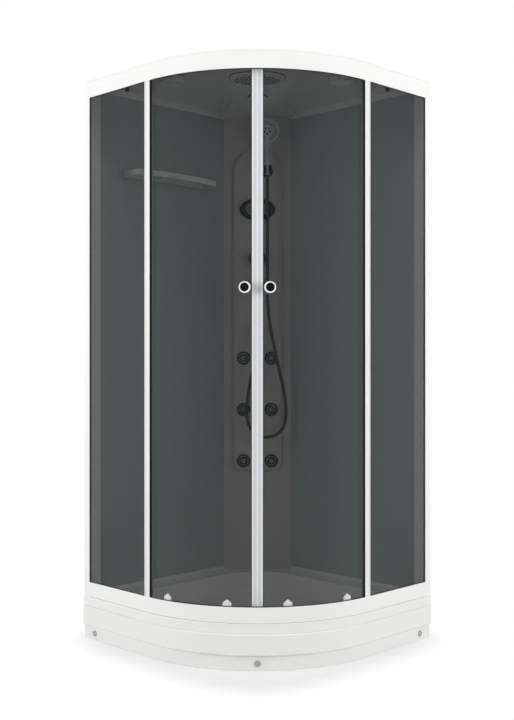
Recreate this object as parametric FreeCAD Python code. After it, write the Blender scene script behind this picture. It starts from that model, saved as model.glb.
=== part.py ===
"""Quarter-round shower cabin for a room corner, with two curved sliding doors.

Frame: +Z is up. The origin is on the floor under the middle of the square that the cabin fills. The left wall
(seen from the doors) is the plane x = -SIDE/2 and the right wall is y = +SIDE/2, so the doors face +X and -Y.
"""
import FreeCAD, Part
import os
from math import cos, degrees, pi, radians, sin, sqrt, tan

V = FreeCAD.Vector
UP = V(0, 0, 1)
ROOT2 = sqrt(2)
SIDEWAYS = V(1 / ROOT2, 1 / ROOT2, 0)
FORWARD = V(1 / ROOT2, -1 / ROOT2, 0)

# ---- whole cabin -------------------------------------------------------------------------------------
SIDE = 950.0                # square in the room's corner
HEIGHT = 2150.0
HALF = SIDE / 2

# ---- plan lines of the front: distance from the walls, and radius of the round part ---------------------
SKIRT_INSET, SKIRT_RADIUS = 0.0, 550.0
TRAY_INSET, TRAY_RADIUS = 2.0, 565.0
FRAME_INSET, FRAME_RADIUS = 5.0, 560.0
ROOF_INSET, ROOF_RADIUS = 7.0, 558.0

# ---- heights above the floor ---------------------------------------------------------------------------
PLINTH_HEIGHT = 54.0
SKIRT_HEIGHT = 127.0
TRAY_HEIGHT = 163.0
SILL_HEIGHT = 56.0
HEADER_DROP = 57.0
ROOF_EDGE = 11.0
BOWL_FLOOR = 80.0

# ---- walls and sheets ----------------------------------------------------------------------------------
TRAY_WALL = 5.0
SKIRT_WALL = 4.0
PLINTH_STEP = 8.0
RAIL_WALL = 4.0
RAIL_PLATE = 3.0
GLASS = 5.0
PANEL_GAP = 5.0             # room wall to wall panel
ROOF_WALL = 4.0
COLUMN_WALL = 4.0
FIT = 0.3                   # play between pieces that move past each other
OVER = 1.0                  # how far a tool or a root passes the face that it meets
NEAR = 0.01                 # how close two places count as one when edges are picked
THROUGH = 30.0              # reach of a drill on each side of a wall
SHAFT_FIT = 0.05            # radial play of a wheel on its pin

# ---- bowl of the tray ----------------------------------------------------------------------------------
BOWL_BACK = 95.0            # rim along the walls
BOWL_FRONT = 82.0           # rim behind the front line
BOWL_CORNER = 231.0         # from the room's corner to the bowl, along the diagonal
BOWL_ROUND = 60.0
BOWL_FOOT_ROUND = 20.0
TRAY_ROUND = 3.0
UPSTAND_HEIGHT = 15.0
UPSTAND_DEPTH = 13.0

# ---- support frame and feet ----------------------------------------------------------------------------
BAR = 25.0
BAR_WALL = 2.0
FOOT_RADIUS = 25.0
FOOT_PAD = 8.0
FOOT_ROD = 6.0
NUT_HEIGHT = 8.0
NUT_CORNER = 12.0           # nut's axis to a corner
FOOT_CHAMFER = 2.0
ROD_SHORT = 4.0             # top of the foot's rod below the bar's upper wall
WALL_FOOT_INSET = 75.0      # front line to the last foot of a bar along a wall
CROSS_FOOT_INSET = 100.0    # front line to the last foot of an inner bar
CROSS_BAR_INSET = 70.0      # front line to the end of an inner bar
WALL_BAR = 63.0             # middle of the bars along the walls, from the wall
CROSS_BAR_DEPTH = 325.0     # front line to the middle of the inner bars
TAB = 3.0
SCREW_HEIGHT = 27.0
SCREW_CAP = 11.0
SCREW_RADIUS = 2.5
SCREW_LENGTH = 21.0
CAP_THICK = 4.0
CAP_ROUND = 2.5
SKIRT_FLANGE = 26.0
SKIRT_ROUND = 2.8
PLINTH_CLEAR = 2.0          # floor to the plinth

# ---- drain ---------------------------------------------------------------------------------------------
DRAIN_SETBACK = 310.0       # SIDE less the drain's way from the room's corner, along the diagonal
DRAIN_HOLE = 45.0
DRAIN_THROAT = 42.0
DRAIN_FLANGE = 56.0
TRAP_RADIUS = 50.0
TRAP_WALL = 3.0
THROAT_LENGTH = 15.0
SEAT_THICK = 2.5
TRAP_FLOOR = 5.0
OUTLET_RADIUS = 20.0
OUTLET_REACH = 130.0
OUTLET_PIN = 38.0           # free end of the outlet, past its collar
DRAIN_COVER = 46.0
COVER_THICK = 4.0
COVER_ROUND = 2.5
COLLAR_DEPTH = 8.0
NOTCHES = 8
NOTCH_LENGTH, NOTCH_WIDTH, NOTCH_HEIGHT = 8.0, 5.0, 3.0

# ---- door frame ----------------------------------------------------------------------------------------
FIXED_GLASS_DEPTH = 4.0     # front line to the fixed glass
DOOR_GLASS_DEPTH = 19.0     # front line to the door glass
POST_FACE = 31.0            # wall post's front face
POST_DEPTH = 13.0
POST_LEG = 66.0             # wall post's leg along the wall
POST_WALL = 2.0
GLASS_GRIP = 8.0
EDGE_PROFILE = 28.0
EDGE_PROFILE_FROM_BEND = 5.4    # from the start of the round part to the middle of the profile
CHANNEL_TURN = 63.0         # roller channel, degrees each side of the diagonal
CHANNEL_WALL = 2.5
GLASS_RIB = 2.0             # rib behind the fixed glass
SILL_RIB = 14.0             # height of the rib over the sill's plate
HEADER_RIB = 20.0           # header's lower edge to its rib
HEADER_LIP = 7.5            # height of the header's lip over its floor
PROFILE_INSET = 1.0         # rails' face to the profile's face
GROOVE_WIDTH, GROOVE_DEPTH = 2.0, 1.2

# ---- doors ---------------------------------------------------------------------------------------------
TRAVEL_TURN = 24.0
REAR_EDGE_TURN = 46.3       # rear edge of the glass, degrees from the diagonal
SEAL_TURN = 2.0
SEAL_WALL = 2.5
SEAL_WEB = 7.0
REAR_SEAL_WALL = 2.0
REAR_SEAL_TURN = 1.0
DOOR_RISE = 23.0            # tray's rim to the door glass
DOOR_GAP = 11.0             # door glass to the header's top
KNOB_HEIGHT = 1325.0
KNOB_TURN = 4.5
KNOB_RADIUS = 21.5
KNOB_HEAD = 18.0
KNOB_NECK = 11.0
NECK_RADIUS = 8.0
KNOB_ROUND = 6.0
STUD_END = 4.0              # stud's length inside the inner knob
GLASS_CLEAR = 0.1           # inner fittings to the glass

# ---- rollers -------------------------------------------------------------------------------------------
FRONT_ROLLER_TURN = 11.25
REAR_ROLLER_TURN = 36.0
WHEEL_RADIUS = 11.0
GROOVE_RADIUS = 9.0
WHEEL_WIDTH = 8.0
TRACK_DEPTH = 30.0          # front line to the middle of the track lip
LIP = 3.0
PIN_RADIUS = 3.0
PIN_PLAY = 2.0              # hole in the glass round a pin
PIN_HEAD = 1.5
BLOCK_WIDTH = 31.0
BLOCK_RISE = 30.0           # wheel's axis to the shoulder of a low cover
BLOCK_POINT = 12.0
BLOCK_THICK = 6.0
BLOCK_ROUND = 1.5
STOP_DEPTH, STOP_WIDTH = 14.0, 12.0
STOP_ROUND = 3.0
STOP_GAP = 2.0              # door glass to the stop
STOP_DROP = 4.0             # header's lower edge to the stop's lower end
SILL_LIP = 24.0             # height of the track lip over the sill's plate
HEADER_LIP_DROP = 31.0      # header top to the top of its lip

# ---- wall panels, column ------------------------------------------------------------------------------
PANEL_TOP_DROP = 32.0       # roof top to the panel's top
PANEL_SETBACK = 71.0        # front of the square to the panel's front edge
COLUMN_FACE = 160.0         # room corner to the column's face
COLUMN_RETURN = 30.0
PANEL_HALF = 107.0          # raised middle of the column
PANEL_RISE = 16.0
PANEL_FOOT = 590.0
PANEL_ROUND = 27.0
SPRING_DROP = 262.0         # roof top to the springing of the raised middle
FIELD_HALF = 92.0
FIELD_GAP = 36.0            # middle of the control panel to the field's top
FIELD_DEPTH = 1.5
FIELD_CROWN = 10.0          # rise of the field's arched top
PANEL_EDGE_ROUND = 13.0

# ---- things on the column ------------------------------------------------------------------------------
JET_SIDE = 60.0
JET_HEIGHTS = (636.0, 858.0, 1081.0)
JET_RADIUS = 28.5
JET_BALL = 13.5
JET_HOLE = 15.0
JET_FLANGE = 6.0
JET_ROUND = 2.5
JET_NUT = 8.0
JET_NUT_RADIUS = 21.0
JET_BORE = 9.0
JET_FLAT = 6.0              # ball's middle to its flat front
JET_BACK = 9.0              # ball's middle to its flat back
NOZZLE_BORE = 3.0
PIPE_FORWARD = 122.0
PIPE_RADIUS = 6.0
JETS_BAR_DROP = 60.0        # hose outlet to the pipe that feeds the jets
RISER_FORWARD = 92.0
RISER_PLAY = 2.0
TEE = 2.0                   # a tee's radius beyond the pipe's
VALVE_BACK = 108.0
VALVE_END = 30.0            # valve body past its two stems
VALVE_HALF = 22.0
VALVE_FRONT = 150.0
STEM_RISE = 6.0             # stem past the column's raised face
SPINDLE = 10.0              # spindle past the stem
SPINDLE_RADIUS = 8.0
INLET_WALL = 3.0
BELL_WALL = 3.0
CONTROL_DROP = 424.0        # roof top to the middle of the control panel
CONTROL_WIDTH, CONTROL_TALL = 148.0, 90.0
CONTROL_THICK = 14.0
WINDOW_WIDTH, WINDOW_TALL = 92.0, 52.0
WINDOW_DEPTH = 1.0
BOX_HALF = 20.5             # control box behind the column: half its height
BOX_DEPTH = 24.0
BOX_PLAY = 2.0
MIXER_GAP = 215.0           # middle of the control panel to the mixer's
MIXER_RADIUS = 37.5
MIXER_DEPTH = 38.0
LEVER_HALF = 7.0
LEVER_LENGTH = 44.0
LEVER_FORWARD = 26.0        # column's raised face to the lever's pin
LEVER_ROOM = 6.0            # lever's pin to the lever's near and upper faces
LEVER_THICK = 18.0
LEVER_OUT = 34.0
LEVER_TIP = 8.0
LEVER_PIN = 15.0
LEVER_ROUND = 2.5
DIVERTER_GAP = 117.0        # middle of the mixer to the diverter's
DIVERTER_RADIUS = 35.0
DIVERTER_DEPTH = 26.0
GRIP_HALF, GRIP_REACH = 8.0, 30.0
GRIP_FORWARD = 40.0         # column's raised face to the front of the grip
GRIP_ROUND = 4.0
STEM_RADIUS = 16.0
STEM_HOLE = 18.0
INLET_RADIUS = 10.475
INLET_LENGTH = 15.0
HOSE_OUTLET_GAP = 183.0     # middle of the diverter to the hose outlet's
ROSETTE_RADIUS = 27.5
OUTLET_TUBE = 11.0
OUTLET_WALL = 4.0
ROSETTE_THICK = 8.0
ROSETTE_ROUND = 3.0
STEAM_HEIGHT = 400.0
STEAM_CAP = 22.0
TANK_RADIUS = 46.0
TANK_FORWARD = 88.0
TANK_TOP = 520.0
TANK_FOOT = 12.0
TANK_FOOT_INSET = 8.0
TANK_CAP, TANK_CAP_RADIUS = 24.0, 28.0
TANK_ROUND = 8.0
STEAM_CAP_THICK = 12.0
STEAM_CAP_ROUND = 4.0
STEAM_PIPE = 8.0
STEAM_SLOTS = 5
STEAM_SLOT_PITCH, STEAM_SLOT_WIDTH = 7.0, 3.0
STEAM_SLOT_LOW, STEAM_SLOT_HIGH = 14.0, 4.0     # below the cap's middle

# ---- hand shower and hose ------------------------------------------------------------------------------
HAND_SIDE = 43.0
HOSE_FORWARD = 224.0        # room corner to the plane in which the hose hangs
HOLDER_DROP = 242.0         # roof top to the holder's top
HOLDER_LENGTH = 38.0
HOLDER_RADIUS = 19.0
HOLDER_ROUND = 3.0
HOLDER_ARM = 9.0
HOLDER_BASE, HOLDER_BASE_THICK = 24.0, 6.0
HOLDER_BASE_ROUND = 2.5
HOLDER_SLOT = 15.0
STEM_OF_HANDLE = 12.0
HANDLE_RADIUS = 13.5
HANDLE_TAPER = 1.5
HANDLE_END = 30.0           # handle's upper end below the head's middle
CONNECTOR_RADIUS = 10.5
CONNECTOR_DROP = 12.0       # holder's top to the connector's upper end
HEAD_DROP = 93.0            # roof top to the middle of the hand shower's head
HEAD_RADIUS = 52.0
HEAD_THICK = 24.0
HEAD_ROUND = 7.0
HEAD_TILT = 12.0
HOSE_DIAMETER = 14.0
HOSE_BORE = 8.0
HOSE_RIBS = 190
HOSE_RIB_DEPTH = 0.8
RIB_RISE, RIB_TOP, RIB_FALL = 0.15, 0.75, 0.9   # shares of a rib's pitch
HOSE_RUN_SHARE = 0.45       # share of a run that a corner's arc may take
CONNECTOR_REACH = 2.0       # connector's lower end below the holder
ELBOW_DROP = 31.0           # middle of the hose outlet to the elbow's lower end
# Route of the hose in its plane, from the handset down and up to the elbow: sideways offset, and height over
# the elbow's lower end.
HOSE_LOOP = (
    (HAND_SIDE, 150.0), (52.0, 50.0), (76.0, -72.0), (104.0, -195.0), (123.5, -295.0), (121.0, -382.0),
    (93.0, -422.0), (51.0, -441.5), (4.0, -435.0), (-32.0, -404.0), (-46.0, -357.0), (-44.0, -287.0),
    (-34.0, -215.0), (-18.0, -143.0), (-5.0, -91.0), (0.0, -44.0), (0.0, 0.0),
)

# ---- roof and what hangs from it -----------------------------------------------------------------------
SPINE_DROP = 20.0           # roof top to the underside of the middle strip
WAIST_FORWARD = 500.0
WAIST_HALF = 100.0
WAIST_CURVE = 919.0
ROOF_FLANGE = 14.0
ROOF_RIM = 41.0
RIM_GAP = 3.0               # header to the roof's middle strip
RAIN_SETBACK = 160.0        # SIDE less the rain head's way from the corner
RAIN_WIDTH, RAIN_DEPTH = 205.0, 182.0
RAIN_ROUND = 70.0
RAIN_THICK = 8.0
LAMP_SETBACK = 424.0
LAMP_RADIUS = 36.0
LAMP_SOCKET = 30.0
LENS_DEPTH = 7.0
LENS_ROUND = 3.0
SOCKET_DEPTH = 5.0
DISH_SETBACK, DISH_SIDE = 215.0, 319.0
DISH_RADIUS = 45.0
DISH_DEPTH = 20.0
FAN_RADIUS = 36.0
VENT_RADIUS = 32.0
DISH_ROUND = 5.0
DISH_WALL = 3.0
SLOT_PITCH, SLOT_WIDTH = 9.0, 5.0
SLOTS_EACH_SIDE = 3
SPEAKER_BACK = 8.0          # roof's underside to the speaker's hollow
BLADES = 7
BLADE_PITCH = 35.0
BLADE_THICK = 2.0
HUB_RADIUS = 9.0
SHAFT_RADIUS = 2.0

# ---- shelf ---------------------------------------------------------------------------------------------
SHELF_HEIGHT = 1825.0
SHELF_SETBACK = 185.0       # front of the square to the shelf's front end
SHELF_LENGTH = 430.0
SHELF_DEPTH = 115.0
SHELF_BAND = 22.0
SHELF_PLATE = 5.0
SHELF_BOW = 30.0
SHELF_ROUND = 18.0
SHELF_WALL = 3.0

# ---- worked out ----------------------------------------------------------------------------------------
FRAME_SIDE = SIDE - FRAME_INSET
BEND = FRAME_SIDE - FRAME_RADIUS            # walls to the doors' turning axis
AXIS = V(-HALF + BEND, HALF - BEND, 0)
SILL_TOP = TRAY_HEIGHT + SILL_HEIGHT
HEADER_TOP = HEIGHT - ROOF_EDGE
HEADER_BOTTOM = HEADER_TOP - HEADER_DROP
HEADER_LIP_TOP = HEADER_TOP - HEADER_LIP_DROP
PANEL_BOTTOM = TRAY_HEIGHT + UPSTAND_HEIGHT
PANEL_TOP = HEIGHT - PANEL_TOP_DROP
PANEL_FACE = PANEL_GAP + GLASS
SPINE = HEIGHT - SPINE_DROP
DOOR_OUT = FRAME_RADIUS - DOOR_GLASS_DEPTH
DOOR_IN = DOOR_OUT - GLASS
TRACK = FRAME_RADIUS - TRACK_DEPTH
SILL_BASE = TRAY_HEIGHT + RAIL_PLATE
SILL_LIP_TOP = SILL_BASE + SILL_LIP
DOOR_BOTTOM = TRAY_HEIGHT + DOOR_RISE
DOOR_TOP = HEADER_TOP - DOOR_GAP
WHEEL_LOW = SILL_LIP_TOP + GROOVE_RADIUS + FIT
WHEEL_HIGH = HEADER_LIP_TOP + GROOVE_RADIUS + FIT
RAISED = COLUMN_FACE + PANEL_RISE           # room corner to the raised middle of the column
LEVER_PIVOT = RAISED + LEVER_FORWARD
COLUMN_EDGE = COLUMN_FACE * ROOT2 - PANEL_FACE
BAR_TOP = BOWL_FLOOR - TRAY_WALL
BAR_LOW = BAR_TOP - BAR
OVER_ROOF = SPINE + ROOF_WALL + PIPE_RADIUS + OVER
PANEL_END = SIDE - PANEL_SETBACK
CROSS_BAR = SIDE - CROSS_BAR_DEPTH
DRAIN_FORWARD = SIDE - DRAIN_SETBACK
RAIN_FORWARD = SIDE - RAIN_SETBACK
LAMP_FORWARD = SIDE - LAMP_SETBACK
DISH_FORWARD = SIDE - DISH_SETBACK
SHELF_END = SIDE - SHELF_SETBACK
SHELF_START = SHELF_END - SHELF_LENGTH
PANEL_SPRING = HEIGHT - SPRING_DROP
CONTROL_HEIGHT = HEIGHT - CONTROL_DROP
FIELD_TOP = CONTROL_HEIGHT - FIELD_GAP
MIXER_HEIGHT = CONTROL_HEIGHT - MIXER_GAP
DIVERTER_HEIGHT = MIXER_HEIGHT - DIVERTER_GAP
HOSE_OUTLET_HEIGHT = DIVERTER_HEIGHT - HOSE_OUTLET_GAP
HEAD_HEIGHT = HEIGHT - HEAD_DROP
HOLDER_HIGH = HEIGHT - HOLDER_DROP
HOLDER_LOW = HOLDER_HIGH - HOLDER_LENGTH
HOSE_TOP = HOLDER_LOW - CONNECTOR_REACH
HOSE_END = HOSE_OUTLET_HEIGHT - ELBOW_DROP


def spot(u, v, z=0.0):
    """Point u to the right of the diagonal, v in front of the room's corner and z up."""
    return V(-HALF + (v + u) / ROOT2, HALF - (v - u) / ROOT2, z)


def wall_spot(a, b, z=0.0):
    """Point a from the left wall, b from the right wall and z up."""
    return V(-HALF + a, HALF - b, z)


def around(radius, turn, z=0.0):
    """Point on a circle about the doors' axis, turn degrees to the right of the diagonal."""
    angle = radians(turn - 45)
    return AXIS + V(radius * cos(angle), radius * sin(angle), z)


def line(p, q):
    return Part.LineSegment(p, q).toShape()


def arc(p, q, r):
    return Part.Arc(p, q, r).toShape()


def prism(edges, low, high):
    """Solid between two heights over a closed loop of edges drawn at height 0."""
    face = Part.Face(Part.Wire(edges))
    face.translate(V(0, 0, low))
    return face.extrude(V(0, 0, high - low))


def polygon(points):
    return [line(p, q) for p, q in zip(points, points[1:] + points[:1])]


def fuse(first, *others):
    return first.fuse(list(others)).removeSplitter()


def slab(a0, a1, b0, b1, low, high):
    """Box between two distances from the left wall and two from the right wall."""
    corner = wall_spot(a0, b1, low)
    return Part.makeBox(a1 - a0, b1 - b0, high - low, corner)


def block(u0, u1, v0, v1, low, high):
    """Box square to the diagonal."""
    return prism(polygon([spot(u0, v0), spot(u1, v0), spot(u1, v1), spot(u0, v1)]), low, high)


def rod(u, v0, v1, z, radius):
    """Round bar along the diagonal."""
    return Part.makeCylinder(radius, v1 - v0, spot(u, v0, z), FORWARD)


def pillar(u, v, low, high, radius):
    return Part.makeCylinder(radius, high - low, spot(u, v, low))


def front_line(inset, radius, depth, near):
    """Five points of the front line: left end, start, middle and end of the round part, and right end."""
    bend = SIDE - inset - radius
    reach = SIDE - inset - depth
    middle = bend + (radius - depth) / ROOT2
    return (wall_spot(near, reach), wall_spot(bend, reach), wall_spot(middle, middle),
            wall_spot(reach, bend), wall_spot(reach, near))


def front_band(inset, radius, d0, d1, low, high, near=0.0):
    """Strip that follows the whole front, between two depths behind its line."""
    p = front_line(inset, radius, d0, near)
    q = front_line(inset, radius, d1, near)
    edges = [line(p[0], p[1]), arc(p[1], p[2], p[3]), line(p[3], p[4]), line(p[4], q[4]),
             line(q[4], q[3]), arc(q[3], q[2], q[1]), line(q[1], q[0]), line(q[0], p[0])]
    return prism(edges, low, high)


def quadrant(inset, radius, depth, back, low, high):
    """Block over the whole plan, depth behind the front line and back from the walls."""
    p = front_line(inset, radius, depth, back)
    corner = wall_spot(back, back)
    edges = [line(corner, p[0]), line(p[0], p[1]), arc(p[1], p[2], p[3]), line(p[3], p[4]),
             line(p[4], corner)]
    return prism(edges, low, high)


def sector(r0, r1, t0, t1, low, high):
    """Part of a ring about the doors' axis."""
    t = (t0 + t1) / 2
    edges = [arc(around(r1, t0), around(r1, t), around(r1, t1)), line(around(r1, t1), around(r0, t1)),
             arc(around(r0, t1), around(r0, t), around(r0, t0)), line(around(r0, t0), around(r1, t0))]
    return prism(edges, low, high)


def twin(shape):
    """Mirror image in the upright plane through the diagonal."""
    return shape.mirror(V(0, 0, 0), SIDEWAYS)


def upright_edges(shape):
    return [e for e in shape.Edges if abs(e.Vertexes[0].X - e.Vertexes[-1].X) < NEAR
            and abs(e.Vertexes[0].Y - e.Vertexes[-1].Y) < NEAR and e.Length > OVER]


def edges_at(shape, z):
    """Edges that lie wholly at one height."""
    return [e for e in shape.Edges if abs(e.BoundBox.ZMin - z) < NEAR and abs(e.BoundBox.ZMax - z) < NEAR]


def front_edges(shape, z):
    """Edges at one height, without the two along the room's walls."""
    return [e for e in edges_at(shape, z)
            if e.CenterOfMass.x > -HALF + OVER and e.CenterOfMass.y < HALF - OVER]


def rims_before(shape, v, least):
    """Round edges longer than least that lie more than v in front of the room's corner."""
    return [e for e in shape.Edges if (e.CenterOfMass - spot(0, v)).dot(FORWARD) > 0 and e.Length > least]


def rims_at(shape, v):
    """Edges whose middle lies v in front of the room's corner."""
    return [e for e in shape.Edges if abs((e.CenterOfMass - spot(0, v)).dot(FORWARD)) < NEAR]


def drill(start, way, radius):
    """Round tool through the wall at start."""
    return Part.makeCylinder(radius, 2 * THROUGH, start - way * THROUGH, way)


# ---- tray and what carries it ----------------------------------------------------------------------------
def bowl(grow, low, high):
    """Inside of the bowl, grown outwards by grow."""
    p = front_line(TRAY_INSET, TRAY_RADIUS, BOWL_FRONT - grow, BOWL_BACK - grow)
    cut = (BOWL_CORNER - grow) * ROOT2 - (BOWL_BACK - grow)
    back = BOWL_BACK - grow
    edges = [line(wall_spot(back, cut), p[0]), line(p[0], p[1]), arc(p[1], p[2], p[3]), line(p[3], p[4]),
             line(p[4], wall_spot(cut, back)), line(wall_spot(cut, back), wall_spot(back, cut))]
    solid = prism(edges, low, high)
    sharp = [e for e in upright_edges(solid)
             if min(e.Vertexes[0].X + HALF, HALF - e.Vertexes[0].Y) < BOWL_BACK + OVER]
    solid = solid.makeFillet(BOWL_ROUND + grow, sharp)
    return solid.makeFillet(BOWL_FOOT_ROUND + grow, edges_at(solid, low))


def make_tray():
    rim = quadrant(TRAY_INSET, TRAY_RADIUS, 0, 0, SKIRT_HEIGHT, TRAY_HEIGHT)
    rim = rim.makeFillet(TRAY_ROUND, front_edges(rim, TRAY_HEIGHT))
    hollow = quadrant(TRAY_INSET, TRAY_RADIUS, TRAY_WALL, TRAY_WALL, SKIRT_HEIGHT, TRAY_HEIGHT - TRAY_WALL)
    shell = rim.cut(hollow)
    shell = fuse(shell, bowl(TRAY_WALL, BOWL_FLOOR - TRAY_WALL, TRAY_HEIGHT))
    shell = shell.cut(bowl(0, BOWL_FLOOR, TRAY_HEIGHT + OVER))
    ledge = slab(0, UPSTAND_DEPTH, COLUMN_EDGE, PANEL_END, TRAY_HEIGHT, PANEL_BOTTOM)
    shell = fuse(shell, ledge, twin(ledge))
    return shell.cut(pillar(0, DRAIN_FORWARD, BAR_LOW, BOWL_FLOOR + OVER, DRAIN_HOLE))


WALL_FOOT = SIDE - WALL_FOOT_INSET
CROSS_FOOT = SIDE - CROSS_FOOT_INSET
FEET = ((WALL_BAR, WALL_BAR), (WALL_BAR, WALL_FOOT), (WALL_FOOT, WALL_BAR), (CROSS_BAR, CROSS_BAR),
        (CROSS_BAR, CROSS_FOOT), (CROSS_FOOT, CROSS_BAR))


def bars(grow):
    """Two bars along the walls, two inner ones and one along the diagonal, grown by grow."""
    half = BAR / 2 + grow
    low, high = BAR_LOW - grow, BAR_TOP + grow
    end = SIDE - PLINTH_STEP - SKIRT_WALL - TAB
    wall = slab(WALL_BAR - half, WALL_BAR + half, WALL_BAR / 2, end, low, high)
    cross = slab(CROSS_BAR - half, CROSS_BAR + half, WALL_BAR, SIDE - CROSS_BAR_INSET, low, high)
    tip = (SIDE - SKIRT_RADIUS) * ROOT2 + SKIRT_RADIUS - PLINTH_STEP - SKIRT_WALL - TAB
    middle = block(-half, half, CROSS_BAR * ROOT2, tip, low, high)
    return fuse(wall, twin(wall), cross, twin(cross), middle), end, tip


def make_tray_frame():
    outside, end, tip = bars(0)
    inside = bars(-BAR_WALL)[0]
    half = BAR / 2
    tab = slab(WALL_BAR - half, WALL_BAR + half, end, end + TAB, SCREW_HEIGHT - half, BAR_TOP)
    tab = tab.cut(drill(wall_spot(WALL_BAR, end, SCREW_HEIGHT), V(0, -1, 0), SCREW_RADIUS + FIT))
    middle = block(-half, half, tip - TAB, tip + TAB, SCREW_HEIGHT - half, BAR_TOP)
    inner_face = PLINTH_STEP + SKIRT_WALL
    middle = middle.common(quadrant(SKIRT_INSET, SKIRT_RADIUS, inner_face, 0, 0, SKIRT_HEIGHT))
    middle = middle.cut(drill(spot(0, tip, SCREW_HEIGHT), FORWARD, SCREW_RADIUS + FIT))
    under_rim = TRAY_HEIGHT - TRAY_WALL
    posts = [slab(WALL_BAR - half, WALL_BAR + half, b - half, b + half, BAR_TOP, under_rim)
             for b in (WALL_BAR, CROSS_BAR, CROSS_FOOT)]
    front = slab(CROSS_BAR - half, CROSS_BAR + half, CROSS_FOOT - half, CROSS_FOOT + half, BAR_TOP, under_rim)
    frame = outside.cut(inside)
    frame = fuse(frame, tab, twin(tab), middle, front, twin(front), *posts, *[twin(p) for p in posts[1:]])
    for a, b in FEET:
        frame = frame.cut(Part.makeCylinder(FOOT_ROD + FIT, BAR / 2, wall_spot(a, b, BAR_LOW - OVER)))
    return frame


def make_feet():
    feet = []
    for a, b in FEET:
        pad = Part.makeCylinder(FOOT_RADIUS, FOOT_PAD, wall_spot(a, b))
        pad = pad.makeChamfer(FOOT_CHAMFER, edges_at(pad, FOOT_PAD))
        rise = BAR_TOP - BAR_WALL - ROD_SHORT - FOOT_PAD
        screw = Part.makeCylinder(FOOT_ROD, rise, wall_spot(a, b, FOOT_PAD))
        corners = [wall_spot(a, b) + V(NUT_CORNER * cos(k * pi / 3), NUT_CORNER * sin(k * pi / 3), 0)
                   for k in range(6)]
        nut = prism(polygon(corners), BAR_LOW - NUT_HEIGHT, BAR_LOW)
        feet.append(fuse(pad, screw, nut))
    return Part.makeCompound(feet)


def make_skirt():
    face = front_band(SKIRT_INSET, SKIRT_RADIUS, 0, SKIRT_WALL, PLINTH_HEIGHT, SKIRT_HEIGHT, FIT)
    over_plinth = PLINTH_HEIGHT + SKIRT_WALL
    plinth = front_band(SKIRT_INSET, SKIRT_RADIUS, PLINTH_STEP, PLINTH_STEP + SKIRT_WALL, PLINTH_CLEAR,
                        over_plinth, FIT)
    ledge = front_band(SKIRT_INSET, SKIRT_RADIUS, OVER, PLINTH_STEP + OVER, PLINTH_HEIGHT, over_plinth, FIT)
    flange = front_band(SKIRT_INSET, SKIRT_RADIUS, OVER, SKIRT_FLANGE, SKIRT_HEIGHT - SKIRT_WALL,
                        SKIRT_HEIGHT, FIT)
    skirt = fuse(face, plinth, ledge, flange)
    face_line = HALF - SKIRT_INSET
    outer = [e for z in (PLINTH_HEIGHT, SKIRT_HEIGHT) for e in edges_at(skirt, z) if e.Length > BAR
             and min(abs(e.BoundBox.XMax - face_line), abs(e.BoundBox.YMin + face_line)) < NEAR]
    skirt = skirt.makeFillet(SKIRT_ROUND, outer)
    for start, way in screw_places():
        skirt = skirt.cut(drill(start, way, SCREW_RADIUS + FIT))
    return skirt


def screw_places():
    """Points on the plinth's face where the skirt is screwed on, with the way out."""
    reach = SIDE - SKIRT_INSET - PLINTH_STEP
    tip = (SIDE - SKIRT_INSET - SKIRT_RADIUS) * ROOT2 + SKIRT_RADIUS - PLINTH_STEP
    return ((wall_spot(WALL_BAR, reach, SCREW_HEIGHT), V(0, -1, 0)), (spot(0, tip, SCREW_HEIGHT), FORWARD),
            (wall_spot(reach, WALL_BAR, SCREW_HEIGHT), V(1, 0, 0)))


def make_skirt_screws():
    screws = []
    for start, way in screw_places():
        cap = Part.makeCylinder(SCREW_CAP, CAP_THICK, start, way)
        top = [e for e in cap.Edges if (e.CenterOfMass - start).dot(way) > CAP_THICK - NEAR
               and e.Length > SCREW_CAP]
        cap = cap.makeFillet(CAP_ROUND, top)
        shank = Part.makeCylinder(SCREW_RADIUS, SCREW_LENGTH + OVER, start - way * SCREW_LENGTH, way)
        screws.append(fuse(cap, shank))
    return Part.makeCompound(screws)


def make_trap():
    tray_under = BOWL_FLOOR - TRAY_WALL
    inside = TRAP_RADIUS - TRAP_WALL
    cup = pillar(0, DRAIN_FORWARD, TRAP_FLOOR, tray_under, TRAP_RADIUS)
    cup = cup.cut(pillar(0, DRAIN_FORWARD, TRAP_FLOOR + TRAP_WALL, tray_under - TRAP_WALL, inside))
    throat_end = tray_under - THROAT_LENGTH
    throat = pillar(0, DRAIN_FORWARD, throat_end, BOWL_FLOOR, DRAIN_HOLE)
    flange = pillar(0, DRAIN_FORWARD, BOWL_FLOOR, BOWL_FLOOR + SEAT_THICK, DRAIN_FLANGE)
    bore = pillar(0, DRAIN_FORWARD, throat_end - OVER, BOWL_FLOOR + SEAT_THICK + OVER, DRAIN_THROAT)
    centre, way = spot(0, DRAIN_FORWARD, TRAP_FLOOR + OUTLET_RADIUS), V(0, 1, 0)
    tube = Part.makeCylinder(OUTLET_RADIUS, OUTLET_REACH, centre, way)
    collar = Part.makeCylinder(OUTLET_RADIUS + TRAP_WALL, OUTLET_REACH - OUTLET_PIN, centre, way)
    tube = fuse(tube, collar).cut(pillar(0, DRAIN_FORWARD, 0, tray_under, inside))
    hollow = Part.makeCylinder(OUTLET_RADIUS - TRAP_WALL, OUTLET_REACH + OVER, centre, way)
    return fuse(cup, throat, flange, tube).cut(bore).cut(hollow)


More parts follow.
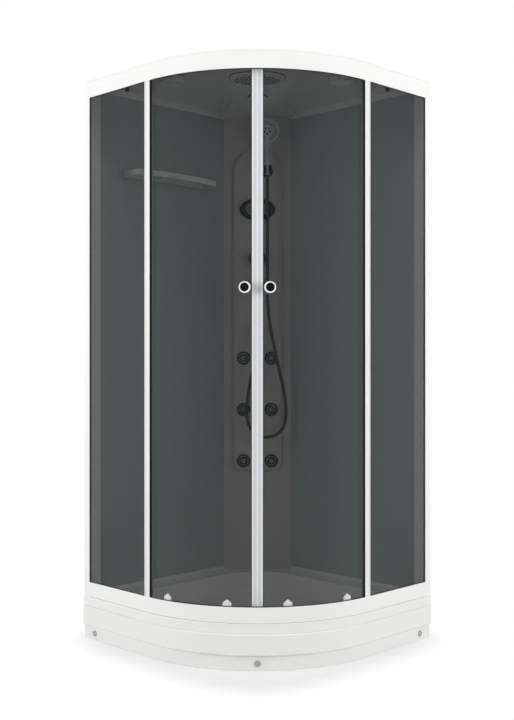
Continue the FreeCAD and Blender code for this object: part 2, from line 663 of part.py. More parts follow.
def make_drain_cover():
    seat = BOWL_FLOOR + SEAT_THICK
    disc = pillar(0, DRAIN_FORWARD, seat, seat + COVER_THICK, DRAIN_COVER)
    disc = disc.makeFillet(COVER_ROUND, edges_at(disc, seat + COVER_THICK))
    outside = DRAIN_THROAT - OVER
    collar = pillar(0, DRAIN_FORWARD, seat - COLLAR_DEPTH, seat, outside)
    hollow = pillar(0, DRAIN_FORWARD, seat - COLLAR_DEPTH, seat, outside - TRAP_WALL)
    cover = fuse(disc, collar.cut(hollow))
    for k in range(NOTCHES):
        notch = Part.makeBox(NOTCH_LENGTH, NOTCH_WIDTH, NOTCH_HEIGHT,
                             V(DRAIN_COVER - NOTCH_LENGTH, -NOTCH_WIDTH / 2, seat))
        notch.rotate(V(0, 0, 0), UP, 360 * k / NOTCHES)
        notch.translate(spot(0, DRAIN_FORWARD))
        cover = cover.cut(notch)
    return cover


# ---- walls, column, roof ---------------------------------------------------------------------------------
def make_wall_panel():
    start, end = COLUMN_EDGE - GLASS_GRIP, PANEL_END + GLASS_GRIP
    return slab(PANEL_GAP, PANEL_FACE, start, end, PANEL_BOTTOM, PANEL_TOP)


def make_wall_post():
    end = FRAME_SIDE
    along_wall = slab(0, POST_DEPTH, end - POST_LEG, end, TRAY_HEIGHT, HEADER_TOP)
    along_front = slab(0, POST_FACE, end - POST_DEPTH, end, TRAY_HEIGHT, HEADER_TOP)
    post = fuse(along_wall, along_front)
    low, high = TRAY_HEIGHT - OVER, HEADER_TOP + OVER
    room = slab(POST_WALL, POST_DEPTH - POST_WALL, PANEL_END + GLASS_GRIP + POST_WALL, end - POST_WALL,
                low, high)
    panel_slot = slab(PANEL_GAP, PANEL_FACE, PANEL_END - OVER, PANEL_END + GLASS_GRIP, PANEL_BOTTOM, high)
    glass_slot = slab(POST_FACE - GLASS_GRIP, POST_FACE + OVER, end - FIXED_GLASS_DEPTH - GLASS,
                      end - FIXED_GLASS_DEPTH, low, high)
    return post.cut(room).cut(panel_slot).cut(glass_slot)


def arch(half, low, spring, crown, v0, v1, foot):
    """Arched block on the column, with a round top over the springing and feet rounded by foot."""
    p = [spot(-half, v0, low), spot(half, v0, low), spot(half, v0, spring), spot(0, v0, crown),
         spot(-half, v0, spring)]
    edges = [line(p[0], p[1]), line(p[1], p[2]), arc(p[2], p[3], p[4]), line(p[4], p[0])]
    solid = Part.Face(Part.Wire(edges)).extrude(FORWARD * (v1 - v0))
    corners = [e for e in edges_at(solid, low) if abs(e.Length - (v1 - v0)) < NEAR]
    return solid.makeFillet(foot, corners)


def between_panels(v0, v1, low, high):
    """Slice of the corner between two planes square to the diagonal, clear of the wall panels' faces."""
    edge = PANEL_FACE * ROOT2
    corners = [spot(edge - v0, v0), spot(v0 - edge, v0), spot(v1 - edge, v1), spot(edge - v1, v1)]
    return prism(polygon(corners), low, high)


def make_column():
    low, high = TRAY_HEIGHT, SPINE
    shell = between_panels(COLUMN_FACE - COLUMN_WALL, COLUMN_FACE, low, high)
    side = slab(PANEL_FACE, PANEL_FACE + COLUMN_WALL, COLUMN_EDGE - COLUMN_RETURN, COLUMN_EDGE - COLUMN_WALL,
                low, high)
    raised = arch(PANEL_HALF, PANEL_FOOT, PANEL_SPRING, PANEL_SPRING + PANEL_HALF, COLUMN_FACE - OVER, RAISED,
                  PANEL_ROUND)
    raised = raised.makeFillet(PANEL_EDGE_ROUND, rims_at(raised, RAISED))
    inner = PANEL_HALF - COLUMN_WALL
    back = COLUMN_FACE - 2 * COLUMN_WALL
    hollow = arch(inner, PANEL_FOOT + COLUMN_WALL, PANEL_SPRING, PANEL_SPRING + inner, back,
                  RAISED - COLUMN_WALL, PANEL_ROUND - COLUMN_WALL)
    hollow = hollow.makeFillet(PANEL_EDGE_ROUND - OVER, rims_at(hollow, RAISED - COLUMN_WALL))
    reach = RAISED + OVER
    field = arch(FIELD_HALF, PANEL_FOOT + PANEL_RISE, FIELD_TOP - FIELD_CROWN, FIELD_TOP,
                 RAISED - FIELD_DEPTH, reach, PANEL_ROUND - PANEL_RISE)
    column = fuse(shell, side, twin(side), raised).cut(hollow).cut(field)
    for u, z in jet_places():
        column = column.cut(rod(u, back, reach, z, JET_HOLE))
    for z in (MIXER_HEIGHT, DIVERTER_HEIGHT):
        column = column.cut(rod(0, back, reach, z, STEM_HOLE))
    column = column.cut(rod(0, back, reach, HOSE_OUTLET_HEIGHT, OUTLET_TUBE + FIT))
    column = column.cut(rod(0, back, reach, STEAM_HEIGHT, STEAM_CAP / 2 + FIT))
    return column.cut(control_box(BOX_PLAY, back, reach))


def waist(grow, low, high):
    """Middle strip of the roof between two round cuts that come closest at the waist, grown by grow."""
    reach = WAIST_HALF + WAIST_CURVE
    strip = block(-reach, reach, COLUMN_FACE - COLUMN_WALL, SIDE * ROOT2, low, high)
    for sign in (-1, 1):
        strip = strip.cut(pillar(sign * reach, WAIST_FORWARD, low, high, WAIST_CURVE - grow))
    return strip


def make_roof():
    under = HEIGHT - ROOF_WALL
    cover = quadrant(ROOF_INSET, ROOF_RADIUS, 0, 0, HEADER_TOP, HEIGHT)
    cover = cover.makeFillet(ROOF_WALL, front_edges(cover, HEIGHT))
    cover = cover.cut(quadrant(ROOF_INSET, ROOF_RADIUS, ROOF_WALL, ROOF_WALL, HEADER_TOP - OVER, under))
    rim, back = ROOF_RIM + RIM_GAP, PANEL_FACE + COLUMN_WALL
    inside = quadrant(FRAME_INSET, FRAME_RADIUS, rim, back, SPINE - OVER, HEIGHT + OVER)
    strip = waist(ROOF_WALL, SPINE, under).common(inside)
    trough = waist(0, SPINE + ROOF_WALL, HEIGHT + OVER)
    trough_room = quadrant(FRAME_INSET, FRAME_RADIUS, rim + ROOF_WALL, back + ROOF_WALL, SPINE, HEIGHT + OVER)
    flange = slab(0, ROOF_FLANGE, COLUMN_EDGE, PANEL_END, PANEL_TOP, under)
    roof = fuse(cover, strip, flange, twin(flange)).cut(trough.common(trough_room))
    for u, v, r in ((0, RAIN_FORWARD, OUTLET_TUBE), (0, LAMP_FORWARD, LAMP_SOCKET),
                    (DISH_SIDE, DISH_FORWARD, VENT_RADIUS)):
        roof = roof.cut(pillar(u, v, SPINE - OVER, HEIGHT + OVER, r))
    half = PIPE_RADIUS + RISER_PLAY
    slot = block(-half, half, RISER_FORWARD - half, COLUMN_FACE, under - OVER, HEIGHT + OVER)
    return roof.cut(slot)


def shelf_block(inset, low, high):
    """Block of the shelf's outline, smaller by inset, with its two front corners rounded."""
    left, right = SHELF_START + inset, SHELF_END - inset
    reach = PANEL_FACE + SHELF_DEPTH - inset
    bow = [wall_spot(reach - SHELF_BOW, left), wall_spot(reach, (left + right) / 2),
           wall_spot(reach - SHELF_BOW, right)]
    roots = (wall_spot(PANEL_FACE, right), wall_spot(PANEL_FACE, left))
    body = prism([line(*roots), line(roots[1], bow[0]), arc(*bow), line(bow[2], roots[0])], low, high)
    corners = [e for e in upright_edges(body) if e.Vertexes[0].X > -HALF + PANEL_FACE + OVER]
    return body.makeFillet(SHELF_ROUND - inset, corners)


def make_shelf():
    low = SHELF_HEIGHT - SHELF_BAND
    body = shelf_block(0, low, SHELF_HEIGHT)
    pocket = shelf_block(SHELF_WALL, low - OVER, SHELF_HEIGHT - SHELF_PLATE)
    left, right = SHELF_START + SHELF_WALL, SHELF_END - SHELF_WALL
    back_strip = slab(PANEL_FACE, PANEL_FACE + SHELF_WALL, left, right, low, SHELF_HEIGHT)
    return fuse(body.cut(pocket), back_strip)


# ---- door frame ------------------------------------------------------------------------------------------
def front_of_frame(d0, d1, low, high):
    return front_band(FRAME_INSET, FRAME_RADIUS, d0, d1, low, high, POST_FACE)


def channel(r0, r1, low, high):
    return sector(r0, r1, -CHANNEL_TURN, CHANNEL_TURN, low, high)


def track_plate(low, high):
    """Plate under or over the roller channel: the front strip and the channel's own ring."""
    inner = FRAME_RADIUS - ROOF_RIM
    return fuse(front_of_frame(0, ROOF_RIM, low, high), channel(inner, FRAME_RADIUS, low, high))


def make_sill():
    rail = fuse(front_of_frame(0, RAIL_WALL, TRAY_HEIGHT, SILL_TOP), track_plate(TRAY_HEIGHT, SILL_BASE))
    behind = FIXED_GLASS_DEPTH + GLASS
    rib = front_of_frame(behind, behind + GLASS_RIB, SILL_BASE - OVER, SILL_BASE + SILL_RIB)
    lip = channel(TRACK - LIP / 2, TRACK + LIP / 2, SILL_BASE - OVER, SILL_LIP_TOP)
    return fuse(rail, rib, lip)


def make_header():
    under = HEADER_TOP - RAIL_PLATE
    inner = FRAME_RADIUS - ROOF_RIM
    hook = HEADER_LIP_TOP - HEADER_LIP
    behind = FIXED_GLASS_DEPTH + GLASS
    rail = fuse(front_of_frame(0, RAIL_WALL, HEADER_BOTTOM, HEADER_TOP), track_plate(under, HEADER_TOP))
    rib = front_of_frame(behind, behind + GLASS_RIB, HEADER_BOTTOM + HEADER_RIB, under + OVER)
    wall = channel(inner, inner + CHANNEL_WALL, hook - CHANNEL_WALL, under + OVER)
    floor = channel(inner, TRACK + LIP / 2, hook - CHANNEL_WALL, hook)
    lip = channel(TRACK - LIP / 2, TRACK + LIP / 2, hook - OVER, HEADER_LIP_TOP)
    return fuse(rail, rib, wall, floor, lip)


def make_fixed_glass():
    top = HEADER_TOP - RAIL_PLATE
    out = FRAME_SIDE - FIXED_GLASS_DEPTH
    edge = BEND - EDGE_PROFILE_FROM_BEND
    return slab(POST_FACE - GLASS_GRIP, edge, out - GLASS, out, SILL_BASE, top)


def make_edge_profile():
    """Upright strip that takes the free edge of the fixed glass between the two rails."""
    middle = BEND - EDGE_PROFILE_FROM_BEND
    half = EDGE_PROFILE / 2
    face = FRAME_SIDE - PROFILE_INSET
    glass = FRAME_SIDE - FIXED_GLASS_DEPTH
    strip = slab(middle - half, middle + half, glass - GLASS - GLASS_RIB, face, SILL_TOP, HEADER_BOTTOM)
    strip = strip.cut(slab(middle - half - OVER, middle, glass - GLASS, glass, SILL_TOP, HEADER_BOTTOM))
    half = GROOVE_WIDTH / 2
    low = face - GROOVE_DEPTH
    return strip.cut(slab(middle - half, middle + half, low, face + OVER, SILL_TOP, HEADER_BOTTOM))


# ---- doors, drawn for the right door and mirrored for the left one -----------------------------------------
def local_box(r0, r1, s0, s1, low, high):
    """Box drawn square to the X axis through the doors' axis, to be swung to its place on a door."""
    return Part.makeBox(r1 - r0, s1 - s0, high - low, AXIS + V(r0, s0, low))


def local_rod(r0, r1, z, radius):
    return Part.makeCylinder(radius, r1 - r0, AXIS + V(r0, 0, z), V(1, 0, 0))


def swing(shape, turn):
    moved = shape.copy()
    moved.rotate(AXIS, UP, turn - 45)
    return moved


ROLLERS = ((FRONT_ROLLER_TURN, WHEEL_HIGH), (REAR_ROLLER_TURN, WHEEL_HIGH),
           (FRONT_ROLLER_TURN, WHEEL_LOW), (REAR_ROLLER_TURN, WHEEL_LOW))


def arc_turn(length):
    """Degrees of a length along the door glass."""
    return degrees(length / DOOR_OUT)


def make_door_glass():
    start = arc_turn(SEAL_WEB)
    glass = sector(DOOR_IN, DOOR_OUT, start, REAR_EDGE_TURN, DOOR_BOTTOM, DOOR_TOP)
    for turn, z in ROLLERS + ((KNOB_TURN, KNOB_HEIGHT),):
        glass = glass.cut(swing(local_rod(DOOR_IN - OVER, DOOR_OUT + OVER, z, PIN_RADIUS + PIN_PLAY), turn))
    return glass


def make_door_seals():
    """Magnetic strip on the front edge of the glass and a plain strip on the rear edge."""
    gap = arc_turn(FIT / 2)
    web = arc_turn(SEAL_WEB)
    front = sector(DOOR_IN - SEAL_WALL, DOOR_OUT + SEAL_WALL, gap, SEAL_TURN, DOOR_BOTTOM, DOOR_TOP)
    front = front.cut(sector(DOOR_IN, DOOR_OUT, web, SEAL_TURN + web, DOOR_BOTTOM, DOOR_TOP))
    start, end = REAR_EDGE_TURN - REAR_SEAL_TURN, REAR_EDGE_TURN + arc_turn(REAR_SEAL_WALL)
    rear = sector(DOOR_IN - REAR_SEAL_WALL, DOOR_OUT + REAR_SEAL_WALL, start, end, DOOR_BOTTOM, DOOR_TOP)
    rear = rear.cut(sector(DOOR_IN, DOOR_OUT, start - REAR_SEAL_TURN, REAR_EDGE_TURN, DOOR_BOTTOM, DOOR_TOP))
    return Part.makeCompound([front, rear])


def make_door_knob():
    """Outer knob with its stud, and inner knob screwed onto the stud."""
    def head(r0):
        disc = local_rod(r0, r0 + KNOB_HEAD, KNOB_HEIGHT, KNOB_RADIUS)
        rims = [e for e in disc.Edges if e.Length > KNOB_RADIUS and abs(e.BoundBox.XLength) < NEAR]
        return disc.makeFillet(KNOB_ROUND, rims)

    inner_tip = DOOR_IN - KNOB_NECK
    outer = fuse(head(DOOR_OUT + KNOB_NECK),
                 local_rod(DOOR_OUT, DOOR_OUT + KNOB_NECK + OVER, KNOB_HEIGHT, NECK_RADIUS),
                 local_rod(inner_tip - STUD_END, DOOR_OUT + OVER, KNOB_HEIGHT, PIN_RADIUS))
    inner = fuse(head(inner_tip - KNOB_HEAD),
                 local_rod(inner_tip - OVER, DOOR_IN - GLASS_CLEAR, KNOB_HEIGHT, NECK_RADIUS))
    inner = inner.cut(local_rod(inner_tip - STUD_END - OVER, DOOR_IN, KNOB_HEIGHT, PIN_RADIUS + SHAFT_FIT))
    return Part.makeCompound([swing(outer, KNOB_TURN), swing(inner, KNOB_TURN)])


def make_roller_block(turn, z):
    """Cover outside the glass, boss inside it, and the pin that carries the wheel."""
    half, r0 = BLOCK_WIDTH / 2, DOOR_OUT
    low = z < HEIGHT / 2
    sign = 1 if low else -1
    flat = z - sign * BLOCK_POINT
    shoulder = z + (BLOCK_RISE if low else -BLOCK_POINT)
    tip = shoulder + sign * BLOCK_POINT
    outline = ((-half, flat), (half, flat), (half, shoulder), (0, tip), (-half, shoulder))
    p = [AXIS + V(r0, s, h) for s, h in outline]
    cover = Part.Face(Part.Wire(polygon(p))).extrude(V(BLOCK_THICK, 0, 0))
    face = [e for e in cover.Edges if e.BoundBox.XMin > AXIS.x + r0 + BLOCK_THICK - NEAR]
    cover = cover.makeFillet(BLOCK_ROUND, face)
    wheel_out = TRACK + WHEEL_WIDTH / 2
    boss = local_rod(wheel_out + FIT, DOOR_IN - GLASS_CLEAR, z, 2 * PIN_RADIUS)
    wheel_in = TRACK - WHEEL_WIDTH / 2
    pin = local_rod(wheel_in - PIN_HEAD, DOOR_OUT + OVER, z, PIN_RADIUS)
    head = local_rod(wheel_in - FIT - PIN_HEAD, wheel_in - FIT, z, PIN_RADIUS + PIN_HEAD)
    return swing(fuse(cover, boss, pin, head), turn)


def make_roller_blocks():
    return Part.makeCompound([make_roller_block(turn, z) for turn, z in ROLLERS])


def make_wheel(turn, z):
    wheel = local_rod(TRACK - WHEEL_WIDTH / 2, TRACK + WHEEL_WIDTH / 2, z, WHEEL_RADIUS)
    half = LIP / 2 + FIT
    groove = local_rod(TRACK - half, TRACK + half, z, WHEEL_RADIUS + OVER)
    groove = groove.cut(local_rod(TRACK - half, TRACK + half, z, GROOVE_RADIUS))
    bore = local_rod(TRACK - WHEEL_WIDTH, TRACK + WHEEL_WIDTH, z, PIN_RADIUS + SHAFT_FIT)
    return swing(wheel.cut(groove).cut(bore), turn)


def make_door_stop():
    """Rubber block under the header that the rear top roller's cover meets when the door is open."""
    turn = REAR_ROLLER_TURN + TRAVEL_TURN + arc_turn(BLOCK_WIDTH / 2 + FIT)
    low, high = HEADER_BOTTOM - STOP_DROP, HEADER_TOP - RAIL_PLATE
    r0 = DOOR_OUT + STOP_GAP
    stop = local_box(r0, r0 + STOP_DEPTH, 0, STOP_WIDTH, low, high)
    stop = stop.makeFillet(STOP_ROUND, upright_edges(stop))
    return swing(stop, turn)


# ---- jets, controls and pipes ----------------------------------------------------------------------------
def jet_places():
    return [(u, z) for z in JET_HEIGHTS for u in (-JET_SIDE, JET_SIDE)]


def field_face():
    return RAISED - FIELD_DEPTH


def make_jet_flanges():
    flanges = []
    face = field_face()
    centre = face + JET_FLANGE / 2
    pipe = PIPE_FORWARD + PIPE_RADIUS + TEE
    behind = RAISED - COLUMN_WALL
    for u, z in jet_places():
        ring = rod(u, face, face + JET_FLANGE, z, JET_RADIUS)
        ring = ring.makeFillet(JET_ROUND, rims_before(ring, face + OVER, JET_RADIUS))
        tail = rod(u, pipe, face + OVER, z, JET_HOLE - FIT)
        nut = rod(u, behind - JET_NUT, behind, z, JET_NUT_RADIUS)
        jet = fuse(ring, tail, nut)
        jet = jet.cut(Part.makeSphere(JET_BALL + FIT, spot(u, centre, z)))
        jet = jet.cut(rod(u, PIPE_FORWARD, face - JET_NUT, z, JET_BORE))
        flanges.append(jet.cut(rod(u, centre, face + THROUGH, z, JET_BALL + FIT)))
    return Part.makeCompound(flanges)


def make_jet_nozzle(u, z):
    centre = field_face() + JET_FLANGE / 2
    ball = Part.makeSphere(JET_BALL, spot(u, centre, z))
    ball = ball.cut(rod(u, centre + JET_FLAT, centre + THROUGH, z, JET_BALL))
    ball = ball.cut(rod(u, centre - THROUGH, centre - JET_BACK, z, JET_BALL))
    return ball.cut(rod(u, centre - THROUGH, centre + THROUGH, z, NOZZLE_BORE))


def ellipse_block(u, z, wide, tall, v0, v1):
    """Oval plate on the column."""
    centre = spot(u, v0, z)
    oval = Part.Ellipse(centre + SIDEWAYS * (wide / 2), centre + UP * (tall / 2), centre)
    return Part.Face(Part.Wire(oval.toShape())).extrude(FORWARD * (v1 - v0))


def control_box(play, v0, v1):
    """Box behind the control panel, twice as wide as high, with some play round it."""
    half = BOX_HALF + play
    return block(-2 * half, 2 * half, v0, v1, CONTROL_HEIGHT - half, CONTROL_HEIGHT + half)


def make_control_panel():
    plate = ellipse_block(0, CONTROL_HEIGHT, CONTROL_WIDTH, CONTROL_TALL, RAISED, RAISED + CONTROL_THICK)
    plate = plate.makeFillet(CONTROL_THICK / 2, rims_before(plate, RAISED + OVER, CONTROL_WIDTH))
    front = RAISED + CONTROL_THICK
    window = ellipse_block(0, CONTROL_HEIGHT, WINDOW_WIDTH, WINDOW_TALL, front - WINDOW_DEPTH, front + OVER)
    return fuse(plate.cut(window), control_box(0, RAISED - BOX_DEPTH, RAISED + OVER))


def make_valve_body():
    """Brass body behind the column with the mixing and the diverting stem and two threaded inlets."""
    body = block(-VALVE_HALF, VALVE_HALF, VALVE_BACK, VALVE_FRONT, DIVERTER_HEIGHT - VALVE_END,
                 MIXER_HEIGHT + VALVE_END)
    tip = RAISED + STEM_RISE
    for z in (MIXER_HEIGHT, DIVERTER_HEIGHT):
        body = fuse(body, rod(0, VALVE_FRONT - OVER, tip, z, STEM_RADIUS),
                    rod(0, tip - OVER, tip + SPINDLE, z, SPINDLE_RADIUS))
    for sign in (-1, 1):
        start = spot((VALVE_HALF - OVER) * sign, PIPE_FORWARD, MIXER_HEIGHT)
        way = SIDEWAYS * sign
        body = fuse(body, Part.makeCylinder(INLET_RADIUS, INLET_LENGTH + OVER, start, way))
        body = body.cut(Part.makeCylinder(INLET_RADIUS - INLET_WALL, INLET_LENGTH + 2 * OVER, start, way))
    return body


def bell(z, radius, depth):
    """Round handle over a stem: a domed cup whose rim stands just clear of the column."""
    start = RAISED + FIT
    cup = rod(0, start, start + depth, z, radius)
    cup = cup.makeFillet(depth / 3, rims_before(cup, start + OVER, radius))
    tip = start + STEM_RISE
    cup = cup.cut(rod(0, start - OVER, tip, z, radius - BELL_WALL))
    return cup.cut(rod(0, start, tip + SPINDLE, z, SPINDLE_RADIUS + SHAFT_FIT))


def make_mixer_handle():
    cap = bell(MIXER_HEIGHT, MIXER_RADIUS, MIXER_DEPTH)
    half = LEVER_HALF + FIT
    slot = block(-half, half, RAISED + STEM_RISE + SPINDLE + OVER, RAISED + MIXER_DEPTH + LEVER_ROOM,
                 MIXER_HEIGHT - MIXER_RADIUS - OVER, MIXER_HEIGHT + 2 * LEVER_ROOM)
    pin = Part.makeCylinder(PIN_RADIUS, 2 * LEVER_PIN, spot(-LEVER_PIN, LEVER_PIVOT, MIXER_HEIGHT), SIDEWAYS)
    return fuse(cap.cut(slot), pin)


def make_mixer_lever():
    """Lever on a pin through the mixer's handle; it hangs down and lifts to open the water."""
    head, tail = MIXER_HEIGHT + LEVER_ROOM, MIXER_HEIGHT - LEVER_LENGTH
    near = LEVER_PIVOT - LEVER_ROOM
    p = [spot(-LEVER_HALF, near, head), spot(-LEVER_HALF, near + LEVER_THICK, head),
         spot(-LEVER_HALF, near + LEVER_OUT, tail), spot(-LEVER_HALF, near + LEVER_OUT - LEVER_TIP, tail)]
    lever = Part.Face(Part.Wire(polygon(p))).extrude(SIDEWAYS * 2 * LEVER_HALF)
    lever = lever.makeFillet(LEVER_ROUND, lever.Edges)
    return lever.cut(drill(spot(0, LEVER_PIVOT, MIXER_HEIGHT), SIDEWAYS, PIN_RADIUS + SHAFT_FIT))


def make_diverter_knob():
    knob = bell(DIVERTER_HEIGHT, DIVERTER_RADIUS, DIVERTER_DEPTH)
    grip = block(-GRIP_HALF, GRIP_HALF, RAISED + DIVERTER_DEPTH - BELL_WALL, RAISED + GRIP_FORWARD,
                 DIVERTER_HEIGHT - GRIP_REACH, DIVERTER_HEIGHT + GRIP_REACH)
    return fuse(knob, grip.makeFillet(GRIP_ROUND, grip.Edges))


def make_hose_outlet():
    z = HOSE_OUTLET_HEIGHT
    face = field_face()
    rosette = rod(0, face, face + ROSETTE_THICK, z, ROSETTE_RADIUS)
    rosette = rosette.makeFillet(ROSETTE_ROUND, rims_before(rosette, face + OVER, ROSETTE_RADIUS))
    tail = rod(0, PIPE_FORWARD + PIPE_RADIUS + TEE, HOSE_FORWARD, z, OUTLET_TUBE)
    corner = Part.makeSphere(OUTLET_TUBE, spot(0, HOSE_FORWARD, z))
    down = pillar(0, HOSE_FORWARD, HOSE_END, z, OUTLET_TUBE)
    bore = rod(0, PIPE_FORWARD, HOSE_FORWARD, z, OUTLET_TUBE - OUTLET_WALL)
    outlet = fuse(rosette, tail, corner, down).cut(bore)
    return outlet.cut(pillar(0, HOSE_FORWARD, HOSE_END - OVER, z, HOSE_BORE / 2))


def pipe_run(points, radius, bend):
    """Pipe along straight runs joined by round bends."""
    runs, start = [], points[0]
    for p, q, r in zip(points, points[1:], points[2:]):
        into, out = (q - p).normalize(), (r - q).normalize()
        half = into.getAngle(out) / 2
        leave = q - into * (bend * tan(half))
        axis = into.cross(out).normalize()
        centre = leave + axis.cross(into) * bend
        runs.append(Part.makeCylinder(radius, (leave - start).Length, start, into))
        disc = Part.Face(Part.Wire(Part.Circle(leave, into, radius).toShape()))
        runs.append(disc.revolve(centre, axis, degrees(2 * half)))
        start = q + out * (bend * tan(half))
    last = points[-1] - start
    runs.append(Part.makeCylinder(radius, last.Length, start, last))
    return fuse(*runs)


def make_supply_pipes():
    """Riser to the rain head, feed of the hose outlet, and feed of the six jets."""
    v = PIPE_FORWARD
    branch = MIXER_HEIGHT + VALVE_END / 2
    riser = pipe_run([spot(0, RISER_FORWARD, branch), spot(0, RISER_FORWARD, OVER_ROOF),
                      spot(0, RAIN_FORWARD - OUTLET_TUBE + OVER, OVER_ROOF)], PIPE_RADIUS, 3 * PIPE_RADIUS)
    elbow = rod(0, RISER_FORWARD, VALVE_BACK, branch, PIPE_RADIUS)
    riser = fuse(riser, elbow, Part.makeSphere(PIPE_RADIUS, spot(0, RISER_FORWARD, branch)))
    bottom = DIVERTER_HEIGHT - VALVE_END
    tee = PIPE_RADIUS + TEE
    outlet = fuse(pillar(0, v, HOSE_OUTLET_HEIGHT, bottom, PIPE_RADIUS),
                  rod(0, v - tee, v + tee, HOSE_OUTLET_HEIGHT, tee))
    cross = HOSE_OUTLET_HEIGHT - JETS_BAR_DROP
    bar = Part.makeCylinder(PIPE_RADIUS, 2 * JET_SIDE, spot(-JET_SIDE, v, cross), SIDEWAYS)
    jets = [pillar(3 * PIPE_RADIUS, v, cross, bottom, PIPE_RADIUS)]
    for sign in (-1, 1):
        jets.append(Part.makeSphere(PIPE_RADIUS, spot(sign * JET_SIDE, v, cross)))
        jets.append(pillar(sign * JET_SIDE, v, min(JET_HEIGHTS), max(cross, *JET_HEIGHTS), PIPE_RADIUS))
        for z in JET_HEIGHTS:
            jets.append(rod(sign * JET_SIDE, v - tee, v + tee, z, tee))
    return Part.makeCompound([riser, outlet, fuse(bar, *jets)])


def make_steam_generator():
    tank = pillar(0, TANK_FORWARD, TRAY_HEIGHT + TANK_FOOT, TANK_TOP, TANK_RADIUS)
    tank = tank.makeFillet(TANK_ROUND, edges_at(tank, TANK_TOP))
    foot = pillar(0, TANK_FORWARD, TRAY_HEIGHT, TRAY_HEIGHT + TANK_FOOT + OVER, TANK_RADIUS - TANK_FOOT_INSET)
    cap = pillar(0, TANK_FORWARD, TANK_TOP - OVER, TANK_TOP + TANK_CAP, TANK_CAP_RADIUS)
    nipple = rod(0, TANK_FORWARD, COLUMN_FACE - STEAM_CAP_THICK, STEAM_HEIGHT, STEAM_PIPE)
    return fuse(tank, foot, cap, nipple)


def make_steam_outlet():
    cap = rod(0, COLUMN_FACE, COLUMN_FACE + STEAM_CAP_THICK, STEAM_HEIGHT, STEAM_CAP)
    cap = cap.makeFillet(STEAM_CAP_ROUND, rims_before(cap, COLUMN_FACE + OVER, STEAM_CAP))
    outlet = fuse(cap, rod(0, COLUMN_FACE - STEAM_CAP_THICK, COLUMN_FACE + OVER, STEAM_HEIGHT, STEAM_CAP / 2))
    face, half = COLUMN_FACE + STEAM_CAP_THICK, STEAM_SLOT_WIDTH / 2
    for k in range(STEAM_SLOTS):
        u = (k - (STEAM_SLOTS - 1) / 2) * STEAM_SLOT_PITCH
        outlet = outlet.cut(block(u - half, u + half, face - 2 * STEAM_CAP_ROUND, face + OVER,
                                  STEAM_HEIGHT - STEAM_SLOT_LOW, STEAM_HEIGHT - STEAM_SLOT_HIGH))
    return outlet


# ---- hand shower, holder and hose --------------------------------------------------------------------------
def make_holder():
    u, v = HAND_SIDE, HOSE_FORWARD
    cup = pillar(u, v, HOLDER_LOW, HOLDER_HIGH, HOLDER_RADIUS)
    cup = cup.makeFillet(HOLDER_ROUND, edges_at(cup, HOLDER_LOW) + edges_at(cup, HOLDER_HIGH))
    middle = (HOLDER_LOW + HOLDER_HIGH) / 2
    arm = rod(u, RAISED + OVER, v, middle, HOLDER_ARM)
    base = rod(u, RAISED, RAISED + HOLDER_BASE_THICK, middle, HOLDER_BASE)
    base = base.makeFillet(HOLDER_BASE_ROUND, rims_before(base, RAISED + OVER, HOLDER_BASE))
    low, high = HOLDER_LOW - OVER, HOLDER_HIGH + OVER
    holder = fuse(cup, arm, base).cut(pillar(u, v, low, high, STEM_OF_HANDLE + FIT))
    half = HOLDER_SLOT / 2
    return holder.cut(block(u - half, u + half, v, v + 2 * HOLDER_RADIUS, low, high))


def make_hand_shower():
    u, v = HAND_SIDE, HOSE_FORWARD
    shoulder = HOLDER_HIGH - CONNECTOR_DROP
    connector = pillar(u, v, HOSE_TOP, shoulder, CONNECTOR_RADIUS)
    stem = pillar(u, v, shoulder - OVER, HOLDER_HIGH + FIT, STEM_OF_HANDLE)
    shank = Part.makeCone(HANDLE_RADIUS + HANDLE_TAPER, HANDLE_RADIUS - HANDLE_TAPER,
                          HEAD_HEIGHT - HANDLE_END - HOLDER_HIGH, spot(u, v, HOLDER_HIGH + FIT))
    tilt = radians(HEAD_TILT)
    way = FORWARD * cos(tilt) - UP * sin(tilt)
    head = Part.makeCylinder(HEAD_RADIUS, HEAD_THICK, spot(u, v, HEAD_HEIGHT) - way * (HEAD_THICK / 2), way)
    head = head.makeFillet(HEAD_ROUND, [e for e in head.Edges if e.Length > HEAD_RADIUS])
    return fuse(shank, stem, connector, head)


def hose_path():
    """Edges of the hose's route: each corner becomes an arc as large as its two runs allow."""
    points = [spot(HAND_SIDE, HOSE_FORWARD, HOSE_TOP)]
    points += [spot(u, HOSE_FORWARD, HOSE_END + rise) for u, rise in HOSE_LOOP]
    edges, start, radii = [], points[0], []
    for p, q, r in zip(points, points[1:], points[2:]):
        into, out = q - p, r - q
        half = into.getAngle(out) / 2
        radius = HOSE_RUN_SHARE * min(into.Length, out.Length) / tan(half)
        into.normalize()
        out.normalize()
        leave, meet = q - into * (radius * tan(half)), q + out * (radius * tan(half))
        centre = q + (out - into).normalize() * (radius / cos(half))
        edges.append(line(start, leave))
        edges.append(arc(leave, centre + (q - centre).normalize() * radius, meet))
        radii.append(round(radius))
        start = meet
    edges.append(line(start, points[-1]))
    print("hose radii", radii, "least", min(radii), "length", round(sum(e.Length for e in edges)))
    return edges


def ring_on(edges, travelled, radius):
    """Circle square to the route at a distance along it, its X axis always square to the hose's plane."""
    for edge in edges:
        if travelled <= edge.Length + 1e-6:
            at = edge.getParameterByLength(min(travelled, edge.Length))
            ring = Part.Circle(edge.valueAt(at), edge.tangentAt(at), radius)
            ring.XAxis = FORWARD
            return Part.Wire(ring.toShape())
        travelled -= edge.Length
    return None


